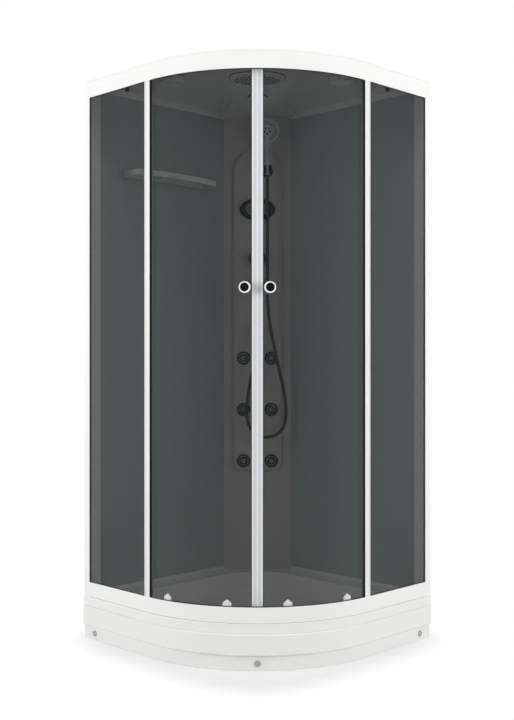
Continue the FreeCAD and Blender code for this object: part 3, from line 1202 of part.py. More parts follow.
def make_hose():
    edges = hose_path()
    length = sum(e.Length for e in edges)
    crest, valley = HOSE_DIAMETER / 2, HOSE_DIAMETER / 2 - HOSE_RIB_DEPTH
    plain = HOSE_DIAMETER
    pitch = (length - 2 * plain) / HOSE_RIBS
    rings = [ring_on(edges, 0, crest)]
    for k in range(HOSE_RIBS):
        for share, radius in ((0, valley), (RIB_RISE, crest), (RIB_TOP, crest), (RIB_FALL, valley)):
            rings.append(ring_on(edges, plain + (k + share) * pitch, radius))
    rings.append(ring_on(edges, length - plain, valley))
    rings.append(ring_on(edges, length - plain + OVER, crest))
    rings.append(ring_on(edges, length, crest))
    outer = Part.makeLoft(rings, True, True)
    ring = Part.Wire(Part.Circle(edges[0].valueAt(edges[0].FirstParameter), UP, HOSE_BORE / 2).toShape())
    bore = Part.Wire(edges).makePipeShell([ring], True, False)
    hose = outer.cut(bore)
    tube = pi * (crest ** 2 - HOSE_BORE ** 2 / 4) * length
    print("hose volume", round(hose.Volume), "plain tube", round(tube))
    return hose


# ---- things in the roof ------------------------------------------------------------------------------------
def make_rain_head():
    low = SPINE - RAIN_THICK
    half, reach = RAIN_WIDTH / 2, RAIN_DEPTH / 2
    plate = block(-half, half, RAIN_FORWARD - reach, RAIN_FORWARD + reach, low, SPINE)
    plate = plate.makeFillet(RAIN_ROUND, upright_edges(plate))
    plate = plate.makeFillet(RAIN_THICK / 3, edges_at(plate, low))
    stub = pillar(0, RAIN_FORWARD, SPINE - OVER, OVER_ROOF + PIPE_RADIUS + OVER, OUTLET_TUBE - FIT)
    inlet = rod(0, RAIN_FORWARD - THROUGH, RAIN_FORWARD - OUTLET_TUBE + OVER, OVER_ROOF,
                PIPE_RADIUS + GLASS_CLEAR)
    return fuse(plate, stub.cut(inlet))


def make_lamp():
    lens = pillar(0, LAMP_FORWARD, SPINE - LENS_DEPTH, SPINE, LAMP_RADIUS)
    lens = lens.makeFillet(LENS_ROUND, edges_at(lens, SPINE - LENS_DEPTH))
    return fuse(lens, pillar(0, LAMP_FORWARD, SPINE - OVER, SPINE + SOCKET_DEPTH, LAMP_SOCKET - FIT))


def dish_shell(u):
    top = HEIGHT - ROOF_WALL
    shell = pillar(u, DISH_FORWARD, top - DISH_DEPTH, top, DISH_RADIUS)
    return shell.makeFillet(DISH_ROUND, edges_at(shell, top - DISH_DEPTH))


def cut_grille(shell, u):
    """Slots through the floor of a dish, as long as its round hollow allows."""
    low = HEIGHT - ROOF_WALL - DISH_DEPTH
    half = FAN_RADIUS - DISH_WALL
    for k in range(-SLOTS_EACH_SIDE, SLOTS_EACH_SIDE + 1):
        v = DISH_FORWARD + k * SLOT_PITCH
        reach = sqrt(half ** 2 - (k * SLOT_PITCH) ** 2)
        shell = shell.cut(block(u - reach, u + reach, v - SLOT_WIDTH / 2, v + SLOT_WIDTH / 2, low - OVER,
                                low + DISH_WALL + OVER))
    return shell


def make_speaker():
    top = HEIGHT - ROOF_WALL
    hollow = pillar(-DISH_SIDE, DISH_FORWARD, top - DISH_DEPTH + DISH_WALL, top - SPEAKER_BACK, FAN_RADIUS)
    return cut_grille(dish_shell(-DISH_SIDE).cut(hollow), -DISH_SIDE)


def make_fan_housing():
    top = HEIGHT - ROOF_WALL
    floor = top - DISH_DEPTH + DISH_WALL
    hollow = pillar(DISH_SIDE, DISH_FORWARD, floor, top + OVER, FAN_RADIUS + BLADE_THICK)
    shell = cut_grille(dish_shell(DISH_SIDE).cut(hollow), DISH_SIDE)
    hub = pillar(DISH_SIDE, DISH_FORWARD, floor - OVER, floor + 2 * OVER, HUB_RADIUS - OVER)
    shaft = pillar(DISH_SIDE, DISH_FORWARD, floor, top - DISH_WALL, SHAFT_RADIUS)
    return fuse(shell, hub, shaft)


def make_fan_wheel():
    top = HEIGHT - ROOF_WALL
    low, high = top - DISH_DEPTH + DISH_WALL + 2 * OVER + FIT, top - DISH_WALL - OVER
    wheel = pillar(DISH_SIDE, DISH_FORWARD, low, high, HUB_RADIUS)
    root = HUB_RADIUS - BLADE_THICK
    for k in range(BLADES):
        blade = Part.makeBox(FAN_RADIUS - root - OVER, BLADE_THICK, high - low - OVER,
                             V(root, -BLADE_THICK / 2, low + OVER / 2))
        blade.rotate(V(0, 0, (low + high) / 2), V(1, 0, 0), BLADE_PITCH)
        blade.rotate(V(0, 0, 0), UP, 360 * k / BLADES)
        blade.translate(spot(DISH_SIDE, DISH_FORWARD))
        wheel = wheel.fuse(blade)
    wheel = wheel.common(pillar(DISH_SIDE, DISH_FORWARD, low, high, FAN_RADIUS))
    bore = pillar(DISH_SIDE, DISH_FORWARD, low - OVER, high + OVER, SHAFT_RADIUS + SHAFT_FIT)
    return wheel.removeSplitter().cut(bore)


# ---- all nodes -------------------------------------------------------------------------------------------
def build():
    nodes = {
        "tray": make_tray(),
        "tray_frame": make_tray_frame(),
        "levelling_feet": make_feet(),
        "front_skirt": make_skirt(),
        "skirt_screws": make_skirt_screws(),
        "drain_trap": make_trap(),
        "drain_cover": make_drain_cover(),
        "left_wall_panel": make_wall_panel(),
        "right_wall_panel": twin(make_wall_panel()),
        "left_wall_post": make_wall_post(),
        "right_wall_post": twin(make_wall_post()),
        "corner_column": make_column(),
        "sill_rail": make_sill(),
        "header_rail": make_header(),
        "left_fixed_glass": make_fixed_glass(),
        "right_fixed_glass": twin(make_fixed_glass()),
        "glass_edge_profiles": Part.makeCompound([make_edge_profile(), twin(make_edge_profile())]),
        "door_stops": Part.makeCompound([make_door_stop(), twin(make_door_stop())]),
        "roof": make_roof(),
        "shelf": make_shelf(),
        "rain_head": make_rain_head(),
        "ceiling_lamp": make_lamp(),
        "speaker": make_speaker(),
        "fan_housing": make_fan_housing(),
        "fan_wheel": make_fan_wheel(),
        "jet_flanges": make_jet_flanges(),
        "control_panel": make_control_panel(),
        "valve_body": make_valve_body(),
        "mixer_handle": make_mixer_handle(),
        "mixer_lever": make_mixer_lever(),
        "diverter_knob": make_diverter_knob(),
        "hose_outlet": make_hose_outlet(),
        "supply_pipes": make_supply_pipes(),
        "steam_generator": make_steam_generator(),
        "steam_outlet": make_steam_outlet(),
        "shower_holder": make_holder(),
        "hand_shower": make_hand_shower(),
        "shower_hose": make_hose(),
    }
    for number, (u, z) in enumerate(jet_places(), 1):
        nodes[f"jet_nozzle_{number}"] = make_jet_nozzle(u, z)
    door = {"glass": make_door_glass(), "seals": make_door_seals(), "knob": make_door_knob(),
            "roller_blocks": make_roller_blocks()}
    for place, (turn, z) in zip(("top_front", "top_rear", "low_front", "low_rear"), ROLLERS):
        door[f"wheel_{place}"] = make_wheel(turn, z)
    for name, shape in door.items():
        nodes[f"right_door_{name}"] = shape
        nodes[f"left_door_{name}"] = twin(shape)
    return nodes


os.makedirs("parts", exist_ok=True)
for node, shape in build().items():
    if not shape.isValid() or not shape.Solids:
        print("check", node, shape.isValid(), len(shape.Solids))
    shape.exportStep(f"parts/{node}.step")
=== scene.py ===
from math import cos, pi, radians, sin, sqrt

import bmesh
import bpy
import numpy as np
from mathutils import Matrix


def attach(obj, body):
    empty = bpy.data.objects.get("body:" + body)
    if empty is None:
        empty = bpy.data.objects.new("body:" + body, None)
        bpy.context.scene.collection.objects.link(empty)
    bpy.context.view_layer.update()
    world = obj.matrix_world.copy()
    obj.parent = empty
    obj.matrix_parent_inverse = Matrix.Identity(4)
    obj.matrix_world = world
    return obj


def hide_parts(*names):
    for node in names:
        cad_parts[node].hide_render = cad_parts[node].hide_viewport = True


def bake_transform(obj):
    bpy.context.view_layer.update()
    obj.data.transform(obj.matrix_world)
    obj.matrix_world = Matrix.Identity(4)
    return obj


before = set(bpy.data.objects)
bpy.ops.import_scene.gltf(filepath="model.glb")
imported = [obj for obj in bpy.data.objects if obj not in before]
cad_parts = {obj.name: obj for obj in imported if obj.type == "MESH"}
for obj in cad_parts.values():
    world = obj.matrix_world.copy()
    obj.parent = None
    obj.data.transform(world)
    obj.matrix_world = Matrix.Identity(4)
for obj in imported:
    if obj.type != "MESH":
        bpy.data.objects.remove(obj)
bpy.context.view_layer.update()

bl_info = {
    "name": "Quarter-round shower cabin",
    "version": (1, 0, 0),
    "blender": (4, 5, 0),
    "location": "View3D > Sidebar > Shower cabin",
    "description": "Dresses a corner shower cabin: smoked glass, profiles, seals, jets, taps and hose",
    "category": "Object",
}

ROOT2 = sqrt(2)
HALF = 0.475                                # half a side of the footprint, whose middle is the origin
AXIS = np.array([-0.090, 0.090])            # upright axis of the round front, in plan
FRAME_RADIUS = 0.560
BEND = 0.385                                # walls to that axis
FORWARD = np.array([1, -1, 0]) / ROOT2
SIDEWAYS = np.array([1, 1, 0]) / ROOT2
UP = np.array([0, 0, 1])
SILL_TOP, HEADER_BOTTOM = 0.219, 2.082
FIELD = 0.1745                              # room corner to the column's recessed face
RAISED = 0.176                              # and to its raised face
JETS = [(u, z) for z in (0.636, 0.858, 1.081) for u in (-0.060, 0.060)]
PANEL_HEIGHT, MIXER_HEIGHT, DIVERTER_HEIGHT = 1.726, 1.511, 1.394
HAND = (0.043, 0.224)                       # hand shower, sideways and in front of the room's corner
HEAD_HEIGHT, HEAD_TILT = 2.057, 12
HEAD_FACE = 0.012                           # middle of its head to the spray face
FLUTES_LOW, FLUTES_LONG = 1.911, 0.092      # foot of the flutes on its handle, and their length
DOOR_FACE, DOOR_BACK = 0.5411, 0.5359       # doors' axis to the fittings' seats on both faces of the glass
SEAL_FACE = 0.5435                          # and to the outer face of their front seals
RIBS_START, RIBS_WIDTH = 0.03, 1.93         # ribs of those seals, in degrees of turn from the diagonal
BEAD_START, BEAD_END = 2.0, 2.36            # and the bead beside them
POST_FACE = 0.031                           # walls to the front face of the wall posts
PROFILE_SIDES = (0.3656, 0.3936)            # walls to both sides of the upright profiles
PROFILE_INLAYS = ((0.3787, 0.3805), (0.3690, 0.3712))    # and to both sides of their two inlays
STRIP_LOW, STRIP_HIGH = 0.187, 2.127        # ends of the strips on the doors
KNOB_TURN, KNOB_HEIGHT = 4.5, 1.325
KNOB_FACES = ((0.570, 1), (0.507, -1))      # doors' axis to a knob's face, and the way that it looks
WHEEL_PLACES = ("top_front", "top_rear", "low_front", "low_rear")
RAIN_FORWARD, LAMP_FORWARD = 0.790, 0.526
DISH_SIDE, DISH_FORWARD = 0.319, 0.735
SPINE, ROOF_UNDER = 2.130, 2.146            # underside of the roof's middle strip and of its lobes
RAIN_DROP = 0.008                           # from that strip down to the rain head's face
ELBOW_TOP = 1.181
FOCAL = 1045                                # in pixels of the photo, as the next two lines are
PICTURE_WIDTH, PICTURE_HEIGHT = 514, 720
FACED = (257.4, 359)                        # point of the photo that the camera faces, from its upper left
EYE_FORWARD, EYE_HEIGHT = 4.710, 1.077      # camera, from the room's corner and the floor
SHADOW_NEAR, SHADOW_FAR = 0.48, 0.62        # middle of the floor to where its shadow fades, start and end
SHADOW_WHITE = 0.60                         # share of plain white in the middle of the floor
WINDING_DEPTH, PLAIN_END = 0.0011, 0.012    # groove of the hose's winding, and each smooth end
HOSE_POINTS = (                             # sideways and up, in the plane of the hand shower
    (0.043, 1.868), (0.043, 1.784), (0.043, 1.430), (0.043, 1.330), (0.052, 1.230), (0.076, 1.108),
    (0.104, 0.985), (0.1235, 0.885), (0.121, 0.798), (0.093, 0.758), (0.051, 0.7385), (0.004, 0.745),
    (-0.032, 0.776), (-0.046, 0.823), (-0.044, 0.893), (-0.034, 0.965), (-0.018, 1.037), (-0.005, 1.089),
    (0.0, 1.136), (0.0, 1.180),
)


# ---- places ---------------------------------------------------------------------------------------------
def spot(u, v, z):
    """Points u to the right of the diagonal, v in front of the room's corner and z up."""
    u, v, z = np.broadcast_arrays(u, v, z)
    return np.stack([-HALF + (v + u) / ROOT2, HALF - (v - u) / ROOT2, z], -1).astype(float)


def around(radius, turn, z):
    """Points on circles about the doors' axis, turn degrees to the right of the diagonal."""
    radius, turn, z = np.broadcast_arrays(radius, turn, z)
    angle = np.radians(turn - 45)
    return np.stack([AXIS[0] + radius * np.cos(angle), AXIS[1] + radius * np.sin(angle), z], -1)


def wall_spot(a, b, z):
    """Points a from the left wall, b from the right wall and z up."""
    a, b, z = np.broadcast_arrays(a, b, z)
    return np.stack([-HALF + a, HALF - b, z], -1).astype(float)


def front_line(depth, near):
    """Plan of the front at a depth behind its outer line: straight, a quarter circle, straight."""
    turn = np.linspace(-45, 45, 96)
    curve = around(FRAME_RADIUS - depth, turn, 0)
    reach = BEND + FRAME_RADIUS - depth
    return np.vstack([wall_spot(near, reach, 0)[None], curve, wall_spot(reach, near, 0)[None]])


# ---- meshes ---------------------------------------------------------------------------------------------
def put(name, points, quads, material, body=None, extra=()):
    """Mesh piece from points and faces, with doubles merged and faces turned outwards, riding on a body."""
    mesh = bpy.data.meshes.new(name)
    mesh.from_pydata(np.asarray(points).reshape(-1, 3).tolist(), [], quads.tolist() + list(extra))
    form = bmesh.new()
    form.from_mesh(mesh)
    bmesh.ops.remove_doubles(form, verts=form.verts, dist=2e-6)
    bmesh.ops.recalc_face_normals(form, faces=form.faces)
    form.to_mesh(mesh)
    form.free()
    mesh.shade_smooth()
    mesh.set_sharp_from_angle(angle=radians(35))
    mesh.materials.append(material)
    piece = bpy.data.objects.new(name, mesh)
    bpy.context.scene.collection.objects.link(piece)
    if body:
        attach(piece, body)
    return piece


def quads_of(rows, cols, closed_cols=True, start=0):
    """Faces between neighbours on a grid of rows x cols points, whose rows may close into rings."""
    i = np.arange(rows - 1)[:, None]
    j = np.arange(cols if closed_cols else cols - 1)[None, :]
    here, right = i * cols, (j + 1) % cols
    below = here + cols
    corners = np.stack([here + j, here + right, below + right, below + j], -1)
    return (corners.reshape(-1, 4) + start).astype(int)


def copies_of(grids, closed_cols=True):
    """Points and faces of many equal grids, shaped (copies, rows, cols, 3), as one mesh."""
    count, rows, cols = grids.shape[:3]
    one = quads_of(rows, cols, closed_cols)
    faces = (one[None] + (np.arange(count) * rows * cols)[:, None, None]).reshape(-1, 4)
    return grids.reshape(-1, 3), faces


def square_to(axis):
    """The axis at length 1 and two directions square to it and to each other."""
    axis = np.asarray(axis, float) / np.linalg.norm(axis)
    side = np.cross(axis, UP) if abs(axis[2]) < 0.9 else np.cross(axis, FORWARD)
    side /= np.linalg.norm(side)
    return axis, side, np.cross(axis, side)


def lathe(profile, centre, axis, steps=48):
    """Surface of revolution: p = centre + r (cos t side + sin t other) + h axis, for each (r, h)."""
    axis, side, other = square_to(axis)
    r, h = np.asarray(profile, float).T
    t = np.linspace(0, 2 * pi, steps, endpoint=False)
    ring = np.cos(t)[:, None] * side + np.sin(t)[:, None] * other
    return np.asarray(centre) + r[:, None, None] * ring[None] + h[:, None, None] * axis


def oval_lathe(profile, centre, wide, tall):
    """Oval rings: p = centre + (wide + r) cos t sideways + (tall + r) sin t up + h forward."""
    t = np.linspace(0, 2 * pi, 72, endpoint=False)
    r, h = np.asarray(profile, float).T
    across = (wide + r)[:, None] * np.cos(t)[None]
    upward = (tall + r)[:, None] * np.sin(t)[None]
    return (np.asarray(centre) + across[..., None] * SIDEWAYS + upward[..., None] * UP
            + h[:, None, None] * FORWARD)


def bar_along_front(name, outline, near, material):
    """Strip whose (depth, height) outline is carried along the front line, with both ends closed."""
    depth, height = np.asarray(outline, float).T
    lines = np.stack([front_line(d, near) for d in depth], 1)
    lines[..., 2] = height[None]
    rows, cols = lines.shape[:2]
    ends = (tuple(range(cols)), tuple(range((rows - 1) * cols, rows * cols)))
    return put(name, lines, quads_of(rows, cols), material, "cabin", ends)


def upright_strips(name, plans, low, high, material, body):
    """Upright strips of closed plan outlines, shaped (strips, corners, 2), between two heights."""
    plans = np.asarray(plans, float)
    count, corners = plans.shape[:2]
    base = np.concatenate([plans, np.full((count, corners, 1), low)], -1)
    top = np.concatenate([plans, np.full((count, corners, 1), high)], -1)
    grids = np.stack([base, top], 1)
    points, faces = copies_of(grids)
    ends = [tuple(range(k * corners, (k + 1) * corners)) for k in range(2 * count)]
    return put(name, points, faces, material, body, ends)


def box_plan(a0, a1, b0, b1, bevel=0.0004):
    """Plan of a thin strip with small bevels, a and b from the two walls."""
    a = np.array([a0 + bevel, a1 - bevel, a1, a1, a1 - bevel, a0 + bevel, a0, a0])
    b = np.array([b0, b0, b0 + bevel, b1 - bevel, b1, b1, b1 - bevel, b0 + bevel])
    return wall_spot(a, b, 0)[:, :2]


def twin_plan(plan):
    """Mirror image of a plan in the diagonal."""
    return np.stack([-plan[:, 1], -plan[:, 0]], -1)[::-1]


def helix(centre, axis, radius, depth, pitch, length, steps=20):
    """Thread round a rod: p = centre + (radius + r) (cos t side + sin t other) + (pitch t / 2 pi + h) axis,
    for the four (r, h) of its ridge, which fade to nothing over half a turn at both ends.
    """
    axis, side, other = square_to(axis)
    turns = length / pitch
    t = np.linspace(0, 2 * pi * turns, int(turns * steps))
    out = np.cos(t)[:, None] * side + np.sin(t)[:, None] * other
    fade = np.clip(np.minimum(t, t[-1] - t) / pi, 0.02, 1)[:, None, None]
    r = np.array([-0.0002, depth, depth, -0.0002])[None, :, None]
    h = np.array([-0.42, -0.08, 0.08, 0.42])[None, :, None] * pitch
    rise = (t / (2 * pi) * pitch)[:, None, None]
    return np.asarray(centre) + (radius + r * fade) * out[:, None] + (rise + h * fade) * axis


# ---- materials ------------------------------------------------------------------------------------------
def finish(name, colour, roughness, metallic=0.0, alpha=1.0, coat=0.0, mottle=(6.0, 0.03),
           grain=(600.0, 0.05), depth=0.0002, uneven=0.06, sheen_lines=None, specular=0.5):
    """Surface with a soft colour variation, an uneven gloss and a fine grain, all on Object coordinates."""
    material = bpy.data.materials.new(name)
    material.use_nodes = True
    nodes, links = material.node_tree.nodes, material.node_tree.links
    shader = nodes["Principled BSDF"]
    shader.inputs["Metallic"].default_value = metallic
    shader.inputs["Alpha"].default_value = alpha
    shader.inputs["Coat Weight"].default_value = coat
    shader.inputs["Coat Roughness"].default_value = 0.04
    shader.inputs["Specular IOR Level"].default_value = specular
    place = nodes.new("ShaderNodeTexCoord")

    broad = nodes.new("ShaderNodeTexNoise")
    broad.inputs["Scale"].default_value = mottle[0]
    broad.inputs["Detail"].default_value = 4
    links.new(place.outputs["Object"], broad.inputs["Vector"])
    tint = nodes.new("ShaderNodeMix")
    tint.data_type = "RGBA"
    dark = [c * (1 - mottle[1]) for c in colour]
    light = [min(1, c * (1 + mottle[1])) for c in colour]
    tint.inputs[6].default_value = (*dark, 1)
    tint.inputs[7].default_value = (*light, 1)
    links.new(broad.outputs["Fac"], tint.inputs[0])
    links.new(tint.outputs[2], shader.inputs["Base Color"])

    spread = nodes.new("ShaderNodeMapRange")
    spread.inputs["To Min"].default_value = max(0.01, roughness - uneven)
    spread.inputs["To Max"].default_value = min(1.0, roughness + uneven)
    links.new(broad.outputs["Fac"], spread.inputs["Value"])
    links.new(spread.outputs["Result"], shader.inputs["Roughness"])

    fine = nodes.new("ShaderNodeTexNoise")
    fine.inputs["Scale"].default_value = grain[0]
    fine.inputs["Detail"].default_value = 2
    source = place.outputs["Object"]
    if sheen_lines:
        stretch = nodes.new("ShaderNodeMapping")
        stretch.inputs["Scale"].default_value = sheen_lines
        links.new(source, stretch.inputs["Vector"])
        source = stretch.outputs["Vector"]
    links.new(source, fine.inputs["Vector"])
    bump = nodes.new("ShaderNodeBump")
    bump.inputs["Strength"].default_value = grain[1]
    bump.inputs["Distance"].default_value = depth
    links.new(fine.outputs["Fac"], bump.inputs["Height"])
    links.new(bump.outputs["Normal"], shader.inputs["Normal"])
    material.diffuse_color = (*colour, alpha)
    return material


def stripes(name, colours, roughness):
    """Strips of colour side by side across a piece's own UV map: the painted shade and highlights of the
    ribbed seals.
    """
    material = finish(name, colours[0], roughness, mottle=(3.0, 0.01), grain=(300.0, 0.02))
    nodes, links = material.node_tree.nodes, material.node_tree.links
    uv = nodes.new("ShaderNodeUVMap")
    uv.uv_map = "across"
    split = nodes.new("ShaderNodeSeparateXYZ")
    ramp = nodes.new("ShaderNodeValToRGB")
    ramp.color_ramp.interpolation = "CONSTANT"
    links.new(uv.outputs["UV"], split.inputs["Vector"])
    links.new(split.outputs["X"], ramp.inputs["Fac"])
    points = ramp.color_ramp.elements
    points[0].color = (*colours[0], 1)
    points[1].position = 1 / len(colours)
    points[1].color = (*colours[1], 1)
    for number, colour in enumerate(colours[2:], 2):
        point = points.new(number / len(colours))
        point.color = (*colour, 1)
    links.new(ramp.outputs["Color"], nodes["Principled BSDF"].inputs["Base Color"])
    return material


def colours():
    return bpy.context.scene.cabin_colours


def sizes():
    return bpy.context.scene.cabin_sizes


def made(name):
    """A finish by its name; the first operator makes them all."""
    return bpy.data.materials[name]


def dress(material, *nodes):
    """Gives CAD nodes a finish; their meshes stay as they are."""
    for node in nodes:
        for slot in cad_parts[node].material_slots:
            slot.material = made(material)


# ---- settings -------------------------------------------------------------------------------------------
def length(name, description, default):
    return bpy.props.FloatProperty(name=name, description=description, default=default, unit="LENGTH",
                                   subtype="DISTANCE", precision=4)


def paint(name, description, default):
    return bpy.props.FloatVectorProperty(name=name, description=description, default=default, size=3,
                                         min=0, max=1, subtype="COLOR")


class CabinSizes(bpy.types.PropertyGroup):
    """Sizes of the trim that dresses the cabin."""
    bead: length("Bead", "Width of the black beads round the panes", 0.0032)
    rib: length("Seal rib", "Height of the ribs on the doors' front seals", 0.0007)
    hose: length("Hose", "Outer diameter of the shower hose", 0.014)
    winding: length("Winding", "Pitch of the hose's spiral winding", 0.0042)
    nozzle: length("Rain nozzle", "Radius of one nozzle of the rain head", 0.0030)
    nozzle_pitch: length("Nozzle pitch", "Distance between the rain head's nozzles", 0.0125)


class CabinColours(bpy.types.PropertyGroup):
    """Colours of the cabin's finishes."""
    acrylic: paint("Acrylic", "Tray, skirt and roof", (0.86, 0.86, 0.85))
    profile: paint("Profiles", "Posts and rails", (0.90, 0.90, 0.89))
    column: paint("Column", "Moulded column", (0.62, 0.62, 0.60))
    panel: paint("Wall glass", "Back-painted wall panels", (0.47, 0.53, 0.53))
    glass: paint("Door glass", "Smoked glass", (0.012, 0.014, 0.014))
    grey: paint("Grey plastic", "Hand shower and rain head", (0.80, 0.81, 0.82))


# ---- operators ------------------------------------------------------------------------------------------
class CABIN_OT_finishes(bpy.types.Operator):
    """Make every finish and give the CAD pieces theirs"""
    bl_idname = "cabin.finishes"
    bl_label = "Finishes"

    def execute(self, context):
        c = colours()
        finish("acrylic gloss", c.acrylic, 0.16, coat=0.3, mottle=(3.0, 0.012), grain=(45.0, 0.05),
               depth=0.0006)
        finish("white powder coat", c.profile, 0.34, mottle=(4.0, 0.012), grain=(1400.0, 0.12), depth=0.0001)
        finish("moulded column", c.column, 0.30, mottle=(5.0, 0.02), grain=(220.0, 0.04))
        finish("painted glass", c.panel, 0.12, coat=0.5, mottle=(1.6, 0.04), grain=(14.0, 0.02), depth=0.0004,
               uneven=0.03)
        finish("smoked glass", c.glass, 0.04, alpha=0.37, mottle=(2.0, 0.02), grain=(9.0, 0.01), uneven=0.02,
               specular=0.12)
        finish("white plastic", (0.84, 0.84, 0.83), 0.28, mottle=(20.0, 0.02), grain=(500.0, 0.05))
        finish("grey plastic", c.grey, 0.32, mottle=(25.0, 0.03), grain=(900.0, 0.08))
        finish("black gloss", (0.006, 0.006, 0.007), 0.14, mottle=(30.0, 0.1), grain=(700.0, 0.04),
               specular=0.3)
        finish("black rubber", (0.014, 0.014, 0.014), 0.62, mottle=(60.0, 0.12), grain=(1800.0, 0.25))
        finish("chrome", (0.86, 0.86, 0.87), 0.07, metallic=1.0, mottle=(12.0, 0.02), grain=(90.0, 0.02),
               uneven=0.03)
        finish("smoked chrome", (0.56, 0.56, 0.565), 0.26, metallic=1.0, mottle=(25.0, 0.05),
               grain=(300.0, 0.05))
        # The chrome screw caps are darkened to a mid grey: painted dark reflection, so that they show on the
        # white skirt.
        finish("screw chrome with painted dark reflection", (0.40, 0.40, 0.41), 0.16, metallic=1.0, mottle=(40.0, 0.06),
               grain=(500.0, 0.08))
        finish("deep black", (0.004, 0.004, 0.005), 0.10, mottle=(30.0, 0.1), grain=(700.0, 0.04),
               specular=0.08)
        finish("dark chrome", (0.16, 0.16, 0.165), 0.11, metallic=1.0, mottle=(14.0, 0.05),
               grain=(120.0, 0.03), uneven=0.04)
        finish("brass", (0.72, 0.55, 0.26), 0.28, metallic=1.0, mottle=(30.0, 0.09), grain=(400.0, 0.12),
               uneven=0.1)
        finish("zinc coat", (0.52, 0.54, 0.56), 0.38, metallic=0.9, mottle=(45.0, 0.16), grain=(260.0, 0.15),
               uneven=0.14)
        finish("brushed tank", (0.60, 0.60, 0.61), 0.32, metallic=1.0, mottle=(8.0, 0.05), grain=(160.0, 0.2),
               sheen_lines=(1, 1, 40))
        finish("spiral steel", (0.13, 0.13, 0.13), 0.22, metallic=1.0, mottle=(80.0, 0.14),
               grain=(900.0, 0.12), uneven=0.08)
        finish("drain plastic", (0.70, 0.70, 0.69), 0.42, mottle=(30.0, 0.04), grain=(700.0, 0.12))
        finish("frosted lens", (0.88, 0.87, 0.83), 0.5, mottle=(40.0, 0.02), grain=(1500.0, 0.2))
        finish("film window", (0.20, 0.23, 0.26), 0.10, coat=0.8, mottle=(14.0, 0.06), grain=(80.0, 0.01))
        finish("grey strip", (0.46, 0.47, 0.48), 0.45, mottle=(12.0, 0.03), grain=(500.0, 0.08))
        # The seven tones across the seal's ribs are painted shade and highlights, one tone to a rib.
        ribs = [(0.88, 0.88, 0.88), (0.62, 0.64, 0.67), (0.76, 0.78, 0.82), (0.58, 0.60, 0.62),
                (0.70, 0.71, 0.72), (0.82, 0.83, 0.85), (0.86, 0.86, 0.87)]
        stripes("ribbed seal with painted rib shade", ribs, 0.34)
        finish("seal plastic", (0.80, 0.81, 0.82), 0.30, mottle=(5.0, 0.02), grain=(400.0, 0.03))

        dress("acrylic gloss", "tray", "front_skirt", "roof")
        dress("white powder coat", "left_wall_post", "right_wall_post", "sill_rail", "header_rail",
              "glass_edge_profiles")
        dress("moulded column", "corner_column")
        dress("painted glass", "left_wall_panel", "right_wall_panel")
        dress("smoked glass", "left_fixed_glass", "right_fixed_glass", "left_door_glass", "right_door_glass")
        dress("white plastic", "shelf", "steam_outlet", "fan_housing", "speaker")
        dress("grey plastic", "rain_head", "hand_shower", "fan_wheel")
        dress("black gloss", "shower_holder", "control_panel", *[f"jet_nozzle_{n}" for n in range(1, 7)])
        dress("deep black", "jet_flanges")
        dress("black rubber", "door_stops")
        dress("chrome", "drain_cover", "left_door_knob", "right_door_knob")
        dress("screw chrome with painted dark reflection", "skirt_screws")
        dress("dark chrome", "mixer_handle", "mixer_lever", "diverter_knob", "hose_outlet")
        dress("brass", "valve_body", "supply_pipes")
        dress("zinc coat", "tray_frame", "levelling_feet")
        dress("brushed tank", "steam_generator")
        dress("drain plastic", "drain_trap")
        dress("frosted lens", "ceiling_lamp")
        for side in ("left", "right"):
            dress("seal plastic", f"{side}_door_seals")
            dress("white plastic", f"{side}_door_roller_blocks",
                  *[f"{side}_door_wheel_{place}" for place in WHEEL_PLACES])
        return {"FINISHED"}


class CABIN_OT_hose(bpy.types.Operator):
    """Wind the shower hose along its route and hang it between the hand shower and its elbow"""
    bl_idname = "cabin.hose"
    bl_label = "Shower hose"

    def execute(self, context):
        route = spot(*np.array(HOSE_POINTS).T[[0]], HAND[1], np.array(HOSE_POINTS)[:, 1])
        curve = bpy.data.curves.new("hose route", "CURVE")
        curve.dimensions = "3D"
        curve.resolution_u = 14
        spline = curve.splines.new("NURBS")
        spline.points.add(len(route) - 1)
        spline.points.foreach_set("co", np.hstack([route, np.ones((len(route), 1))]).ravel())
        spline.order_u = 3
        spline.use_endpoint_u = True
        guide = bpy.data.objects.new("hose route", curve)
        context.scene.collection.objects.link(guide)
        context.view_layer.update()
        line = bpy.data.meshes.new_from_object(guide)
        path = np.array([v.co for v in line.vertices], float)
        bpy.data.objects.remove(guide)
        if np.linalg.norm(path[0] - route[0]) > 1e-4:
            path = path[::-1]
        tube = self.tube(path, sizes())
        rows, cols = tube.shape[:2]
        ends = (tuple(range(cols)), tuple(range((rows - 1) * cols, rows * cols)))
        hose = put("hose", tube, quads_of(rows, cols), made("spiral steel"), None, ends)
        spot(HAND[0], HAND[1], 1.40)
        spot(HAND[0], HAND[1], 1.86)
        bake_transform(hose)
        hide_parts("shower_hose")
        return {"FINISHED"}

    @staticmethod
    def tube(path, size):
        """Tube with a rounded winding: r = R - d w^3, w = (1 + cos(2 pi s / pitch - t)) / 2."""
        travelled = np.concatenate([[0], np.cumsum(np.linalg.norm(np.diff(path, axis=0), axis=1))])
        total = travelled[-1]
        rings = int(total / size.winding * 7)
        s = np.linspace(0, total, rings)
        centre = np.stack([np.interp(s, travelled, path[:, k]) for k in range(3)], -1)
        ahead = np.gradient(centre, axis=0)
        ahead /= np.linalg.norm(ahead, axis=1)[:, None]
        side = np.broadcast_to(FORWARD, ahead.shape)
        other = np.cross(ahead, side)
        t = np.linspace(0, 2 * pi, 20, endpoint=False)
        wave = 0.5 + 0.5 * np.cos(2 * pi * s[:, None] / size.winding - t[None])
        radius = size.hose / 2 - WINDING_DEPTH * wave ** 3
        plain = np.minimum(s, total - s)[:, None] < PLAIN_END
        radius = np.where(plain, size.hose / 2 - 0.0002, radius)
        return (centre[:, None] + radius[..., None] * (np.cos(t)[None, :, None] * side[:, None]
                                                       + np.sin(t)[None, :, None] * other[:, None]))


